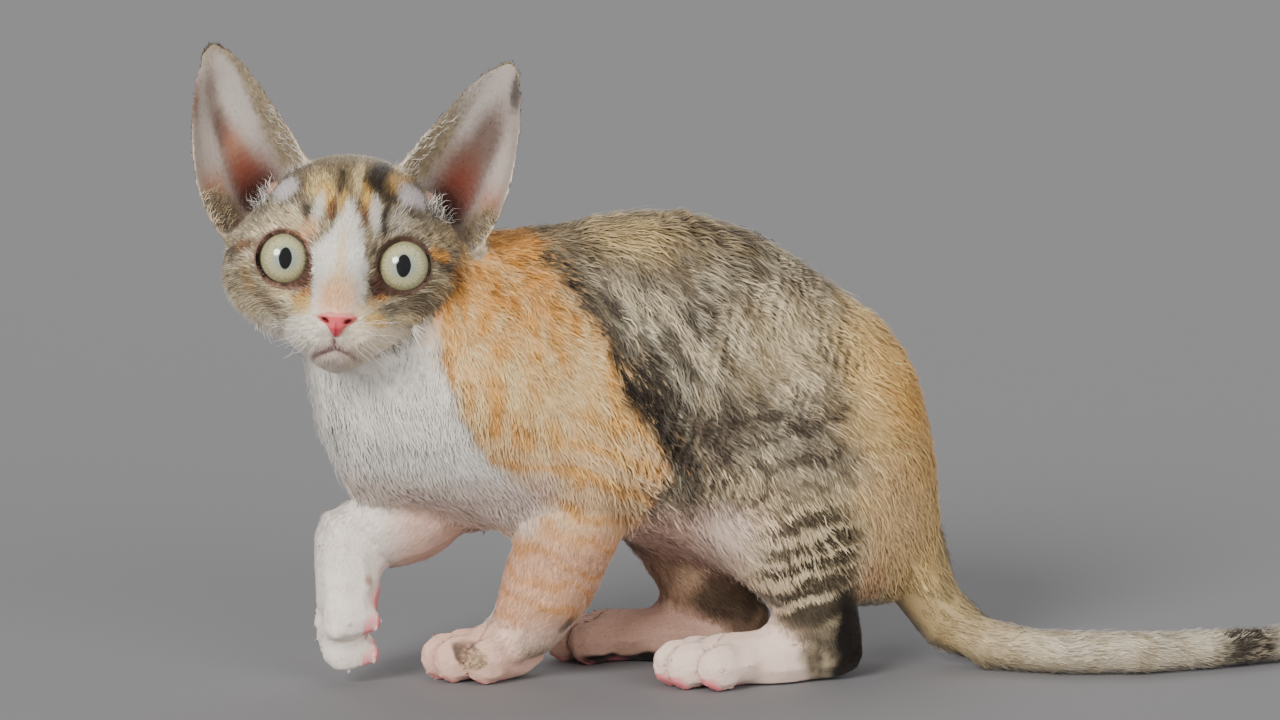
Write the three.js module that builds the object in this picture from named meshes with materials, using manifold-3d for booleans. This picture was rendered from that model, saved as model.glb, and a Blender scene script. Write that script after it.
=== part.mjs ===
// A Devon Rex kitten in mid step, life size, in millimetres. It faces -X, its left side is -Y, and the floor is z = 0.
// The left forepaw and both hind feet are down, the right forepaw is lifted, the head is turned to its left,
// and the tail lies on the floor behind it. The surfaces are those of the coat.
// The body is soft masses blended together, and each node is a mesh wrapped round its own axis onto such a blend.
import * as THREE from "three";
import { mergeVertices } from "three/addons/utils/BufferGeometryUtils.js";
import Module from "manifold-3d";

const wasm = await Module();
wasm.setup();

const v3 = (p) => new THREE.Vector3(...p);

// Driving dimensions
const GAP = 0.35; // between nodes that touch
const MIDLINE = 15; // y of the spine
const ORIGIN = [33, -7, 0]; // under the middle of the left hind foot
const EYE_SPACING = 35.2;
const EYEBALL = 9.2; // radius
const EYE_DEPTH = 7.6; // from the eye plane back to an eyeball's centre
const LID_OPENING = 8.2; // radius of the middle of the lid
const LID = 1.25; // radius of the lid's rim
const GAZE_OUT = 0.07; // how far each eye looks outwards, in radians
const WAVE = 1.6; // height of a wave of the coat
const TOE_SPACING = 5.9;
const TOE = [8.6, 4.8, 8.2]; // half length, width and height
const BALL = [13, 12.4]; // half length and width of the ball of a foot, behind its toes
const BALL_OF_FOOT = -20; // where the body of a foot ends, behind its longest toe's tip
const BALL_AT = -25; // middle of the ball of a foot
const SOLE_TRIM = 0.5; // how deep the round underside of a foot is cut flat

// Joints
const SHOULDER = [-47, MIDLINE - 18, 92];
const ELBOW_LEFT = [-17, -4, 70];
const WRIST_LEFT = [-33, 14, 17];
const ELBOW_RIGHT = [-50, 34, 56.5];
const WRIST_RIGHT = [-82, 24, 45];
const HIP = [58, MIDLINE - 15, 70];
const KNEE_LEFT = [46, -9, 39];
const HOCK_LEFT = [60, -5, 14];
const KNEE_RIGHT = [15, 40, 40];
const HOCK_RIGHT = [39, 30, 14];

const mirrored = ([x, y, z]) => [x, 2 * MIDLINE - y, z];
const curveThrough = (points) => new THREE.CatmullRomCurve3(points.map(v3), false, "centripetal");

// Solids: geometry to a closed body, and back
function solidOf(geometry) {
  const bare = geometry.clone();
  bare.deleteAttribute("normal");
  bare.deleteAttribute("uv");
  const merged = mergeVertices(bare, 1e-4);
  return new wasm.Manifold(
    new wasm.Mesh({
      numProp: 3,
      vertProperties: new Float32Array(merged.attributes.position.array),
      triVerts: new Uint32Array(merged.index.array),
    }),
  );
}

function geometryOf(solid) {
  const mesh = solid.getMesh();
  const geometry = new THREE.BufferGeometry();
  geometry.setAttribute("position", new THREE.BufferAttribute(mesh.vertProperties.slice(), 3));
  geometry.setIndex(new THREE.BufferAttribute(mesh.triVerts.slice(), 1));
  geometry.computeVertexNormals();
  return geometry;
}

const largest = (solid) =>
  solid.decompose().reduce((best, body) => (body.volume() > best.volume() ? body : best));

const union = (solids) => solids.reduce((whole, solid) => whole.add(solid));
const cutBy = (solid, cutters) => largest(cutters.reduce((left, cutter) => left.subtract(cutter), solid));

// A box whose top face passes through a point and faces along a direction: subtracting it cuts away what is below.
function below(point, direction, size = 400) {
  const box = new THREE.BoxGeometry(size, size, size);
  box.translate(0, 0, -size / 2);
  box.applyQuaternion(new THREE.Quaternion().setFromUnitVectors(v3([0, 0, 1]), v3(direction).normalize()));
  box.translate(...point);
  return solidOf(box);
}

// A small ellipsoid as a solid, turned by degrees about x, y and z
function pebble(at, size, turn = [0, 0, 0], around = 8) {
  const ball = new THREE.SphereGeometry(1, around, Math.round(around * 0.6));
  ball.rotateZ(Math.PI / 2);
  ball.scale(...size);
  ball.applyQuaternion(new THREE.Quaternion().setFromEuler(new THREE.Euler(...turn.map(THREE.MathUtils.degToRad))));
  ball.translate(...at);
  return ball;
}

// Soft masses: each is a function that gives the signed distance of a point, negative inside
function ellipsoid(at, size, turn = [0, 0, 0]) {
  const turned = new THREE.Quaternion().setFromEuler(new THREE.Euler(...turn.map(THREE.MathUtils.degToRad)));
  const inverse = new THREE.Matrix4().compose(v3(at), turned, v3([1, 1, 1])).invert();
  const local = new THREE.Vector3();
  const [a, b, c] = size;
  return (p) => {
    local.copy(p).applyMatrix4(inverse);
    const near = Math.hypot(local.x / a, local.y / b, local.z / c);
    const slope = Math.hypot(local.x / a ** 2, local.y / b ** 2, local.z / c ** 2);
    return slope > 1e-9 ? (near * (near - 1)) / slope : -Math.min(a, b, c);
  };
}

function limb(from, fromRadius, to, toRadius) {
  const start = v3(from);
  const along = v3(to).sub(start);
  const length2 = along.lengthSq();
  const local = new THREE.Vector3();
  return (p) => {
    local.copy(p).sub(start);
    const t = THREE.MathUtils.clamp(local.dot(along) / length2, 0, 1);
    return local.addScaledVector(along, -t).length() - THREE.MathUtils.lerp(fromRadius, toRadius, t);
  };
}

function blend(softness, masses) {
  return (p) => {
    let nearest = Infinity;
    for (const mass of masses) {
      const d = mass(p);
      const overlap = Math.max(softness - Math.abs(nearest - d), 0) / softness;
      nearest = Math.min(nearest, d) - (nearest === Infinity ? 0 : (overlap ** 2 * softness) / 4);
    }
    return nearest;
  };
}

// A chain of limbs through points, each with its radius
const chain = (points, radii, softness = 6) =>
  blend(softness, points.slice(1).map((p, i) => limb(points[i], radii[i], p, radii[i + 1])));

// How far a ray from inside a field travels before it leaves it
function reach(field, from, direction, most = 120) {
  const p = new THREE.Vector3();
  const at = (t) => field(p.copy(from).addScaledVector(direction, t));
  let inside = 0;
  let outside = 0;
  while (outside < most) {
    const depth = -at(outside);
    if (depth <= 0) break;
    inside = outside;
    outside += Math.max(depth * 0.8, 0.4);
  }
  for (let i = 0; i < 14; i += 1) {
    const middle = (inside + outside) / 2;
    if (at(middle) < 0) inside = middle;
    else outside = middle;
  }
  return inside;
}

// A closed mesh round a curve, with round ends, drawn out along its own radii onto the field.
// side is roughly where its first column lies, and relief adds to the radius at a ring and column.
function wrap({ curve, side = [0, 0, 1], around, along, caps = 4, field, grow = 0, relief = () => 0 }) {
  const capsule = new THREE.CapsuleGeometry(1, along, caps, around, along);
  capsule.deleteAttribute("normal");
  capsule.deleteAttribute("uv");
  const mesh = mergeVertices(capsule, 1e-5);
  const position = mesh.attributes.position;
  const half = along / 2;
  for (let i = 0; i < position.count; i += 1) {
    const y = position.getY(i);
    const onAxis = THREE.MathUtils.clamp(y, -half, half);
    const s = onAxis / along + 0.5;
    const tangent = curve.getTangentAt(s);
    const out = v3(side).addScaledVector(tangent, -v3(side).dot(tangent)).normalize();
    const across = new THREE.Vector3().crossVectors(out, tangent);
    const direction = new THREE.Vector3()
      .addScaledVector(out, position.getX(i))
      .addScaledVector(across, position.getZ(i))
      .addScaledVector(tangent, y - onAxis)
      .normalize();
    const from = curve.getPointAt(s);
    const column = (Math.atan2(position.getZ(i), position.getX(i)) / (2 * Math.PI)) * around;
    const raised = y === onAxis ? relief(Math.round(onAxis + half), Math.round(column), direction) : 0;
    const far = reach(field, from, direction) + grow + raised;
    position.setXYZ(i, ...from.addScaledVector(direction, far).toArray());
  }
  return mesh;
}

// A wrapped solid, and the same solid grown by the gap, which cuts its neighbours
function fleshOf(shape, place = new THREE.Matrix4()) {
  return {
    solid: solidOf(wrap(shape).applyMatrix4(place)),
    grown: solidOf(wrap({ ...shape, grow: GAP }).applyMatrix4(place)),
  };
}

const nodes = new Map();
const addNode = (name, solid, colour, roughness = 0.85) => nodes.set(name, { solid, colour, roughness });

const COAT = "#8f8373";
const WHITE = "#e6dfd6";
const CREAM = "#d8b487";

// Trunk: ribs, loin, rump, seat, belly, breast and withers, with the neck, shoulders and haunches blended in
const UPPER_ARMS = {
  left: { points: [SHOULDER, ELBOW_LEFT], radii: [18.5, 17.3] },
  right: { points: [mirrored(SHOULDER), ELBOW_RIGHT], radii: [18.5, 14.5] },
};
const THIGHS = {
  left: { bulge: [54, MIDLINE - 19, 57], points: [HIP, KNEE_LEFT], radii: [21, 14] },
  right: { bulge: [46, MIDLINE + 19, 58], points: [mirrored(HIP), KNEE_RIGHT], radii: [21, 14] },
};
const HAUNCH = [34, 18, 34];
const upperArmMasses = ({ points, radii }) => [limb(points[0], radii[0], points[1], radii[1])];
const thighMasses = ({ bulge, points, radii }) => [
  ellipsoid(bulge, HAUNCH, [0, -14, 0]),
  limb(points[0], radii[0], points[1], radii[1]),
];
const SHOULDER_BLADE = [-46, MIDLINE - 18, 94];
const trunkField = blend(12, [
  ellipsoid([-30, MIDLINE, 92], [52, 31, 46]),
  ellipsoid([8, MIDLINE, 100], [57, 31, 48.7]),
  ellipsoid([51.5, MIDLINE, 75.5], [46.5, 29, 48]),
  ellipsoid([71, MIDLINE, 51], [29, 25, 34.5]),
  ellipsoid([18, MIDLINE, 64], [42, 26, 24]),
  ellipsoid([-77, MIDLINE, 87], [26, 25, 31]),
  ellipsoid([-38, MIDLINE, 114], [32, 22, 26]),
  ellipsoid(SHOULDER_BLADE, [25, 14, 36], [0, 12, 0]),
  ellipsoid(mirrored(SHOULDER_BLADE), [25, 14, 36], [0, 12, 0]),
  limb([-62, MIDLINE, 107], 28, [-86, MIDLINE - 1, 121], 23),
  ...Object.values(UPPER_ARMS).flatMap(upperArmMasses),
  ...Object.values(THIGHS).flatMap(thighMasses),
]);

// Waves of the coat: short crests set like bricks, over the back and flanks, fading towards the belly
const WAVE_COLUMNS = 4;
function wave(ring, column, direction) {
  const block = Math.floor((column + 100 * WAVE_COLUMNS) / WAVE_COLUMNS);
  const within = (column + 100 * WAVE_COLUMNS) % WAVE_COLUMNS;
  const crest = (ring + block) % 2 === 0 ? 1 : -1;
  const fade = THREE.MathUtils.smoothstep(direction.z, -0.75, -0.1);
  return crest * WAVE * 0.5 * Math.sin((Math.PI * within) / WAVE_COLUMNS) * fade;
}

const trunk = fleshOf({
  curve: curveThrough([
    [78, MIDLINE, 60],
    [56, MIDLINE, 82],
    [16, MIDLINE, 97],
    [-28, MIDLINE, 98],
    [-56, MIDLINE, 101.5],
    [-80, MIDLINE, 108],
  ]),
  around: 36,
  along: 32,
  caps: 4,
  field: trunkField,
  relief: wave,
});

// Head, in its own frame: forward, left and up from the middle of the eye plane
const HEAD_AT = [-93.1, -16, 134.4];
const HEAD_FORWARD = [-0.195, -0.975, 0.107];
const HEAD_ROLL = 3.8; // degrees, its left side lower
const headFrame = (() => {
  const forward = v3(HEAD_FORWARD).normalize();
  const level = new THREE.Vector3().crossVectors(v3([0, 0, 1]), forward).normalize();
  const up = new THREE.Vector3().crossVectors(forward, level);
  const roll = THREE.MathUtils.degToRad(HEAD_ROLL);
  const left = level.multiplyScalar(Math.cos(roll)).addScaledVector(up, -Math.sin(roll));
  const upright = new THREE.Vector3().crossVectors(forward, left);
  return new THREE.Matrix4().makeBasis(forward, left, upright).setPosition(...HEAD_AT);
})();
const inHead = (geometry) => solidOf(geometry.applyMatrix4(headFrame));
const bothSides = (make) => [1, -1].map(make);

const headField = blend(7, [
  ellipsoid([-31, 0, 8], [31, 29, 25]),
  ellipsoid([-15, 0, 12], [20, 23, 18]),
  limb([-8, 0, 2], 10, [8, 0, -12], 7.2),
  ellipsoid([-1, 0, -25.5], [9, 9, 7]),
  ...bothSides((side) => ellipsoid([-23, 19 * side, -3], [19, 19, 19])),
  ...bothSides((side) => ellipsoid([-EYE_DEPTH, (side * EYE_SPACING) / 2, 0], [6.4, 11.5, 11])),
  ...bothSides((side) => ellipsoid([-14, 11 * side, -17], [18, 11, 10])),
  ...bothSides((side) => ellipsoid([4, 6.3 * side, -20], [10, 8.5, 7.5])),
]);
const head = fleshOf(
  {
    curve: curveThrough([[-34, 0, 2], [-22, 0, -1], [-10, 0, -4]]),
    around: 36,
    along: 5,
    caps: 9,
    field: headField,
  },
  headFrame,
);

// A point on the face, at so much to the left and up
const onFace = (left, up, out = 0) => {
  const from = v3([-8, left * 0.6, up * 0.8]);
  const towards = v3([12, left * 0.4, up * 0.2]).normalize();
  return from.addScaledVector(towards, reach(headField, from, towards) + out).toArray();
};
const groove = (points, width) =>
  inHead(
    wrap({
      curve: curveThrough(points),
      side: [1, 0, 0],
      around: 5,
      along: points.length * 2,
      caps: 1,
      field: chain(points, points.map(() => width), 1),
    }),
  );
const mouthLine = groove(
  [-7.2, -4, 0, 4, 7.2].map((left) => onFace(left, -25.2 - Math.abs(left) * 0.42)),
  0.7,
);
const philtrum = groove([onFace(0, -21.5), onFace(0, -23.4), onFace(0, -25.2)], 0.6);

// Eyes, their sockets, and lids whose inner corner points down towards the nose
const INNER_CORNER = THREE.MathUtils.degToRad(-135);
const eyeAt = (side) => [-EYE_DEPTH, (side * EYE_SPACING) / 2, 0];
const sockets = bothSides((side) => inHead(new THREE.IcosahedronGeometry(EYEBALL + GAP, 2).translate(...eyeAt(side))));
const openings = bothSides((side) => {
  const mouth = new THREE.CylinderGeometry(LID_OPENING + 9, LID_OPENING - 1, 20, 16);
  mouth.rotateZ(-Math.PI / 2).rotateZ(side * GAZE_OUT);
  return inHead(mouth.translate(...v3(eyeAt(side)).add(v3([15, side * 15 * GAZE_OUT, 0])).toArray()));
});
const lids = bothSides((side) => {
  const ring = new THREE.TorusGeometry(LID_OPENING, LID, 6, 20);
  const position = ring.attributes.position;
  for (let i = 0; i < position.count; i += 1) {
    const angle = Math.atan2(position.getY(i), position.getX(i));
    const off = Math.atan2(Math.sin(angle - INNER_CORNER), Math.cos(angle - INNER_CORNER));
    const stretch = 1 + 0.36 * Math.exp(-((off / 0.4) ** 2));
    position.setX(i, position.getX(i) * stretch);
    position.setY(i, position.getY(i) * stretch);
  }
  // x of the ring runs outwards from the nose, y up and z forward
  const [x, y, z] = [v3([-GAZE_OUT, side, 0]).normalize(), v3([0, 0, 1]), new THREE.Vector3()];
  z.crossVectors(x, y).multiplyScalar(side);
  const turn = new THREE.Matrix4().makeBasis(x, y, z);
  const forward = Math.sqrt((EYEBALL + GAP + 0.6 * LID) ** 2 - LID_OPENING ** 2);
  ring.applyMatrix4(turn);
  ring.translate(...v3(eyeAt(side)).addScaledVector(z, forward).toArray());
  return side > 0 ? inHead(ring) : inHead(turnedInsideOut(ring));
});

// A mirrored geometry has its faces pointing in: this swaps two corners of each
function turnedInsideOut(geometry) {
  const index = geometry.index;
  for (let i = 0; i < index.count; i += 3) {
    const first = index.getX(i);
    index.setX(i, index.getX(i + 1));
    index.setX(i + 1, first);
  }
  return geometry;
}

// Nose leather, broad above and narrow towards the lip, with comma nostrils
const nose = fleshOf(
  {
    curve: curveThrough([[11, -1.5, -16], [11, 1.5, -16]]),
    around: 12,
    along: 2,
    caps: 3,
    field: blend(2, [
      ellipsoid([12.5, 0, -15.4], [5.2, 5.8, 2.8]),
      ellipsoid([12.5, 0, -18.4], [4.6, 2.9, 3.6]),
    ]),
  },
  headFrame,
);
const nostrils = bothSides((side) => inHead(pebble([17.4, 3.3 * side, -16.9], [2.4, 1.5, 0.9], [25 * side, 0, 30 * side], 8)));

// Ears: each is a thin curved shell between its inner and outer edges, hollowed backwards into a cup.
// Both faces of the shell are split into triangles alike.
const EAR_INNER = [[-17, 8, 20], [-20, 14, 29], [-22, 21.8, 41], [-24, 34.4, 57], [-25, 42, 63.5]];
const EAR_OUTER = [[-27, 31, -2], [-21, 39.5, 8], [-17, 45.6, 20], [-19, 48.8, 40], [-25, 49, 60]];
const EAR_CUP = 17; // depth at the base
const EAR_POINT = 2.4; // rise of the tip's middle over its corners
const EAR_THICK = [2.2, 1.1]; // at the base and the tip
const EAR_ROWS = 9;
const EAR_COLUMNS = 8;

function earPoint(u, v, edges) {
  const inner = edges.inner.getPoint(u);
  const outer = edges.outer.getPoint(u);
  const width = inner.distanceTo(outer);
  const depth = EAR_CUP * (1 - u ** 1.6) ** 0.8 * Math.min(1, width / 20);
  const p = inner.lerp(outer, v);
  p.x -= depth * Math.sin(Math.PI * v ** 1.15) ** 0.85;
  p.z += EAR_POINT * u ** 6 * Math.sin(Math.PI * v) - 0.12 * depth * Math.sin(Math.PI * v);
  return p;
}

function earGeometry() {
  const edges = { inner: curveThrough(EAR_INNER), outer: curveThrough(EAR_OUTER) };
  const rows = EAR_ROWS + 1;
  const columns = EAR_COLUMNS + 1;
  const faces = [0, 1].map(() => new THREE.PlaneGeometry(1, 1, EAR_COLUMNS, EAR_ROWS));
  const [front, back] = faces.map((face) => face.attributes.position);
  for (let r = 0; r < rows; r += 1) {
    const u = r / EAR_ROWS;
    for (let c = 0; c < columns; c += 1) {
      const v = c / EAR_COLUMNS;
      const p = earPoint(u, v, edges);
      const step = 0.02;
      const du = earPoint(Math.min(u + step, 1), v, edges).sub(earPoint(Math.max(u - step, 0), v, edges));
      const dv = earPoint(u, Math.min(v + step, 1), edges).sub(earPoint(u, Math.max(v - step, 0), edges));
      const behind = new THREE.Vector3().crossVectors(du, dv).normalize();
      const thick = THREE.MathUtils.lerp(EAR_THICK[0], EAR_THICK[1], u);
      front.setXYZ(r * columns + c, ...p.toArray());
      back.setXYZ(r * columns + c, ...p.addScaledVector(behind, thick).toArray());
    }
  }
  const index = [...faces[0].index.array];
  const count = rows * columns;
  for (let i = 0; i < faces[1].index.count; i += 3) {
    const [a, b, c] = [0, 1, 2].map((k) => faces[1].index.getX(i + k) + count);
    index.push(a, c, b);
  }
  const rim = [];
  for (let c = 0; c < EAR_COLUMNS; c += 1) rim.push(c);
  for (let r = 0; r < EAR_ROWS; r += 1) rim.push(r * columns + EAR_COLUMNS);
  for (let c = EAR_COLUMNS; c > 0; c -= 1) rim.push(EAR_ROWS * columns + c);
  for (let r = EAR_ROWS; r > 0; r -= 1) rim.push(r * columns);
  rim.forEach((a, i) => {
    const b = rim[(i + 1) % rim.length];
    index.push(a, b, b + count, a, b + count, a + count);
  });
  const shell = new THREE.BufferGeometry();
  const corners = [...front.array, ...back.array];
  shell.setAttribute("position", new THREE.BufferAttribute(new Float32Array(corners), 3));
  shell.setIndex(index);
  return turnedInsideOut(shell);
}

const ears = bothSides((side) => {
  const shell = earGeometry();
  if (side < 0) turnedInsideOut(shell.scale(1, -1, 1));
  const solid = inHead(shell);
  return cutBy(solid, [head.grown, trunk.grown]);
});

// Legs: each length is wrapped on its own, and is cut by what it grows from
const length = (points, radii, options = {}) =>
  fleshOf({ curve: curveThrough(points), around: 14, along: 8, caps: 3, field: chain(points, radii), ...options });

const forearms = {
  left: length([ELBOW_LEFT, [-21.5, 2, 50], [-26, 8, 33], WRIST_LEFT], [15, 15.8, 14.3, 11.8], { around: 16 }),
  right: length([ELBOW_RIGHT, [-66, 29, 50], WRIST_RIGHT], [12.5, 13.8, 13.2]),
};
const shins = {
  left: length([KNEE_LEFT, [53, -7, 26], HOCK_LEFT], [11.5, 13.2, 10]),
  right: length([KNEE_RIGHT, [27, 35, 27], HOCK_RIGHT], [11.5, 13.2, 10]),
};

// A foot, in its own frame: x towards the toes, y to its left, z up from the sole, with x = 0 at the longest toe's tip.
// The body runs back to the heel or wrist, and toeTips says how far each toe falls short, from its right to its left.
function footGeometries({ back, height, radii, toeTips, toe = TOE, pads }) {
  const body = [back, [(back[0] + BALL_OF_FOOT) / 2, back[1] * 0.6, (back[2] + height) / 2], [BALL_OF_FOOT, 0, height]];
  const pieces = [
    wrap({ curve: curveThrough(body), around: 10, along: 4, caps: 2, field: chain(body, radii) }),
    pebble([BALL_AT, 0, toe[2] + 0.3 - SOLE_TRIM], [...BALL, toe[2] + 0.3], [0, 0, 0]),
    ...toeTips.map((tip, i) => {
      const across = (i - 1.5) * TOE_SPACING;
      return pebble([-tip - toe[0], across, toe[2] - SOLE_TRIM], toe, [0, 6, across * 0.9]);
    }),
  ];
  if (pads) {
    pieces.push(...toeTips.map((tip, i) => pebble([-tip - 6, (i - 1.5) * TOE_SPACING, 0], [4.2, 3, 2.2], [0, 0, 0], 7)));
    pieces.push(pebble([-21, 0, 0.4], [6.5, 8, 3], [0, 0, 0], 7));
  }
  return pieces;
}

const footFrame = (at, heading, up) => {
  const forward = v3(heading).normalize();
  const across = new THREE.Vector3().crossVectors(v3(up), forward).normalize();
  const upright = new THREE.Vector3().crossVectors(forward, across);
  return new THREE.Matrix4().makeBasis(forward, across, upright).setPosition(...at);
};
const footOf = (foot) => {
  const place = footFrame(foot.at, foot.heading, foot.up ?? [0, 0, 1]);
  return union(footGeometries(foot).map((piece) => solidOf(piece.applyMatrix4(place))));
};

const FOREPAW = { back: [-32, 0, 10], height: 8.2, radii: [9.5, 9.1, 8.7], toeTips: [8, 0, 2.5, 11] };
const HINDFOOT = { back: [-60, 0, 7.9], height: 8.3, radii: [8.6, 8.8, 8.9], toeTips: [8, 0, 2.5, 11] };
const floor = below([0, 0, 0], [0, 0, 1], 900);
const feet = {
  forepaw_left: footOf({ ...FOREPAW, at: [-66, 14.5, 0], heading: [-0.98, -0.12, 0] }),
  forepaw_right: footOf({
    ...FOREPAW,
    at: [-80.4, 19.5, 3.6],
    heading: [0.02, -0.05, -1],
    up: [-1, 0, 0],
    back: [-42, 0, 5.6],
    height: 6.8,
    radii: [11, 9.6, 8.6],
    toe: [7.8, 4.8, 8.9],
    toeTips: [10, 1.5, 0, 11],
    pads: true,
  }),
  hindfoot_left: footOf({ ...HINDFOOT, at: [2, -10, 0], heading: [-0.99, -0.1, 0] }),
  hindfoot_right: footOf({ ...HINDFOOT, at: [-23, 42, 0], heading: [-0.98, 0.2, 0], toeTips: [11, 2.5, 0, 8] }),
};

// Tail in three lengths: it drops from the rump and lies on the floor
const TAIL_RADII = [12, 11, 9.3, 7.6, 7.3, 7.1, 6.7, 6, 5.2, 3.2];
const TAIL = [
  [89.5, MIDLINE, 46],
  [91.5, 13, 29],
  [98, 8, 15.5],
  [111, -1, 7.6],
  [131, -13, 7.1],
  [153, -18, 6.9],
  [177, -15.5, 6.5],
  [206, -9, 5.8],
  [232, -1, 5],
  [252, 7, 3.4],
];
const tailCurve = curveThrough(TAIL);
const TAIL_JOINTS = [0.36, 0.68]; // as shares of its length
const tailWhole = solidOf(
  wrap({ curve: tailCurve, side: [0, 0, 1], around: 10, along: 28, caps: 2, field: chain(TAIL, TAIL_RADII, 3) }),
);
function tailLength(from, to) {
  const cutters = [];
  if (from > 0) cutters.push(below(tailCurve.getPointAt(from).toArray(), tailCurve.getTangentAt(from).toArray(), 120));
  if (to < 1) {
    const end = tailCurve.getPointAt(to).addScaledVector(tailCurve.getTangentAt(to), -GAP);
    cutters.push(below(end.toArray(), tailCurve.getTangentAt(to).negate().toArray(), 120));
  }
  return cutBy(tailWhole, [...cutters, trunk.grown, floor]);
}

// Partings: a thigh or an upper arm is what of the trunk lies inside the outline that its own masses have
// from the side, on its own side of the spine
const PARTING = 4; // how far round those masses
const CORE = 7; // from the spine's plane to the partings
const flat = ([x, y, z]) => [x, 0, z];
function parting(masses, centre, side) {
  const field = blend(8, masses);
  const middle = v3(flat(centre));
  return [0, GAP].map((gap) => {
    const outline = Array.from({ length: 22 }, (_, i) => {
      const angle = (i / 22) * 2 * Math.PI;
      const out = new THREE.Vector3(Math.cos(angle), 0, Math.sin(angle));
      const p = middle.clone().addScaledVector(out, reach(field, middle, out) + PARTING + gap);
      return new THREE.Vector2(p.x, p.z);
    });
    const depth = 60;
    const prism = new THREE.ExtrudeGeometry(new THREE.Shape(outline), { depth, bevelEnabled: false });
    const inner = MIDLINE + side * (CORE - gap);
    return solidOf(prism.rotateX(Math.PI / 2).translate(0, side > 0 ? inner + depth : inner, 0));
  });
}
const partings = {};
for (const [name, side] of [["left", -1], ["right", 1]]) {
  const { points: arm, radii: armRadii } = UPPER_ARMS[name];
  const upperArm = { points: arm.map(flat), radii: armRadii };
  const middle = v3(arm[0]).lerp(v3(arm[1]), 0.5).toArray();
  partings[`upper_arm_${name}`] = parting(upperArmMasses(upperArm), middle, side);
  const { points, bulge, radii } = THIGHS[name];
  const thigh = { points: points.map(flat), bulge: flat(bulge), radii };
  partings[`thigh_${name}`] = parting(thighMasses(thigh), bulge, side);
}
const neckBase = [-62, MIDLINE, 106.3];
const neckWay = v3([-0.62, 0, 0.78]).normalize();
const aboveNeckBase = below(neckBase, neckWay.clone().negate().toArray());
const belowNeckBase = below(v3(neckBase).addScaledVector(neckWay, GAP).toArray(), neckWay.toArray());

// Nodes, each cut by those that it grows from
const besideLegs = Object.values(partings).map(([, grown]) => grown);
addNode("torso", cutBy(trunk.solid, [...besideLegs, aboveNeckBase, head.grown]), COAT);
addNode("neck", cutBy(trunk.solid, [belowNeckBase, head.grown]), CREAM);
for (const [name, [own]] of Object.entries(partings)) {
  const colour = { thigh_left: COAT, thigh_right: COAT, upper_arm_left: CREAM, upper_arm_right: WHITE }[name];
  addNode(name, cutBy(trunk.solid.intersect(own), [aboveNeckBase, head.grown]), colour);
}
const headWhole = head.solid.subtract(union(openings)).add(union(lids));
addNode("head", cutBy(headWhole, [...sockets, nose.grown, mouthLine, philtrum]), WHITE);
addNode("nose", cutBy(nose.solid, nostrils), "#d88a86", 0.5);
bothSides((side) => {
  const name = side > 0 ? "left" : "right";
  const eyeball = new THREE.IcosahedronGeometry(EYEBALL, 2).translate(...eyeAt(side));
  addNode(`eye_${name}`, inHead(eyeball), "#c3c6a2", 0.1);
  addNode(`ear_${name}`, ears[side > 0 ? 0 : 1], "#b79a8c");
  const far = name === "right";
  addNode(`forearm_${name}`, cutBy(forearms[name].solid, [trunk.grown]), far ? WHITE : CREAM);
  const forepawCutters = far ? [forearms[name].grown] : [forearms[name].grown, floor];
  addNode(`forepaw_${name}`, cutBy(feet[`forepaw_${name}`], forepawCutters), WHITE);
  addNode(`shin_${name}`, cutBy(shins[name].solid, [trunk.grown]), COAT);
  addNode(`hindfoot_${name}`, cutBy(feet[`hindfoot_${name}`], [trunk.grown, shins[name].grown, floor]), WHITE);
});
addNode("tail_root", tailLength(0, TAIL_JOINTS[0]), CREAM);
addNode("tail_middle", tailLength(TAIL_JOINTS[0], TAIL_JOINTS[1]), WHITE);
addNode("tail_tip", tailLength(TAIL_JOINTS[1], 1), WHITE);

const cat = new THREE.Group();
for (const [name, { solid, colour, roughness }] of nodes) {
  const material = new THREE.MeshStandardMaterial({ color: colour, roughness, metalness: 0 });
  const mesh = new THREE.Mesh(geometryOf(solid), material);
  mesh.name = name;
  mesh.position.set(...ORIGIN).negate();
  cat.add(mesh);
}
export default cat;
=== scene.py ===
import itertools
import math
from collections import namedtuple

import bpy
import numpy as np
from mathutils import Matrix, Vector


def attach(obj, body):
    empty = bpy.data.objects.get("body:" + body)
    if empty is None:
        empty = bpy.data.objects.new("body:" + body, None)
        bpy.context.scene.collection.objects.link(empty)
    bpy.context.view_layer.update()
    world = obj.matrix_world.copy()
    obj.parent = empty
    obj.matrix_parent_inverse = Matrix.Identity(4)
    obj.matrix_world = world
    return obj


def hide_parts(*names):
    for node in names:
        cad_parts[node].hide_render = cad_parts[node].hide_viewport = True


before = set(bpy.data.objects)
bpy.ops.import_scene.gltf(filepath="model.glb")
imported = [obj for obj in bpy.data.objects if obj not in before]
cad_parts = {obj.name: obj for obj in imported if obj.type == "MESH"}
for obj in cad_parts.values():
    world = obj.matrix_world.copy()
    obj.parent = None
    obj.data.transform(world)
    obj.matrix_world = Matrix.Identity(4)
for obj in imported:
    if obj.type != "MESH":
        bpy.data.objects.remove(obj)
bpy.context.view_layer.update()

MM = 0.001
SEED = 7
SIDES = {"left": 1, "right": -1}

# Body and head
MIDLINE = 22.0  # y of the spine
HEAD_AT = (-126.1, -9.0, 134.4)  # middle of the eye plane
HEAD_FORWARD = (-0.195, -0.975, 0.107)  # the way the face looks
HEAD_ROLL = math.radians(3.8)

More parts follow.
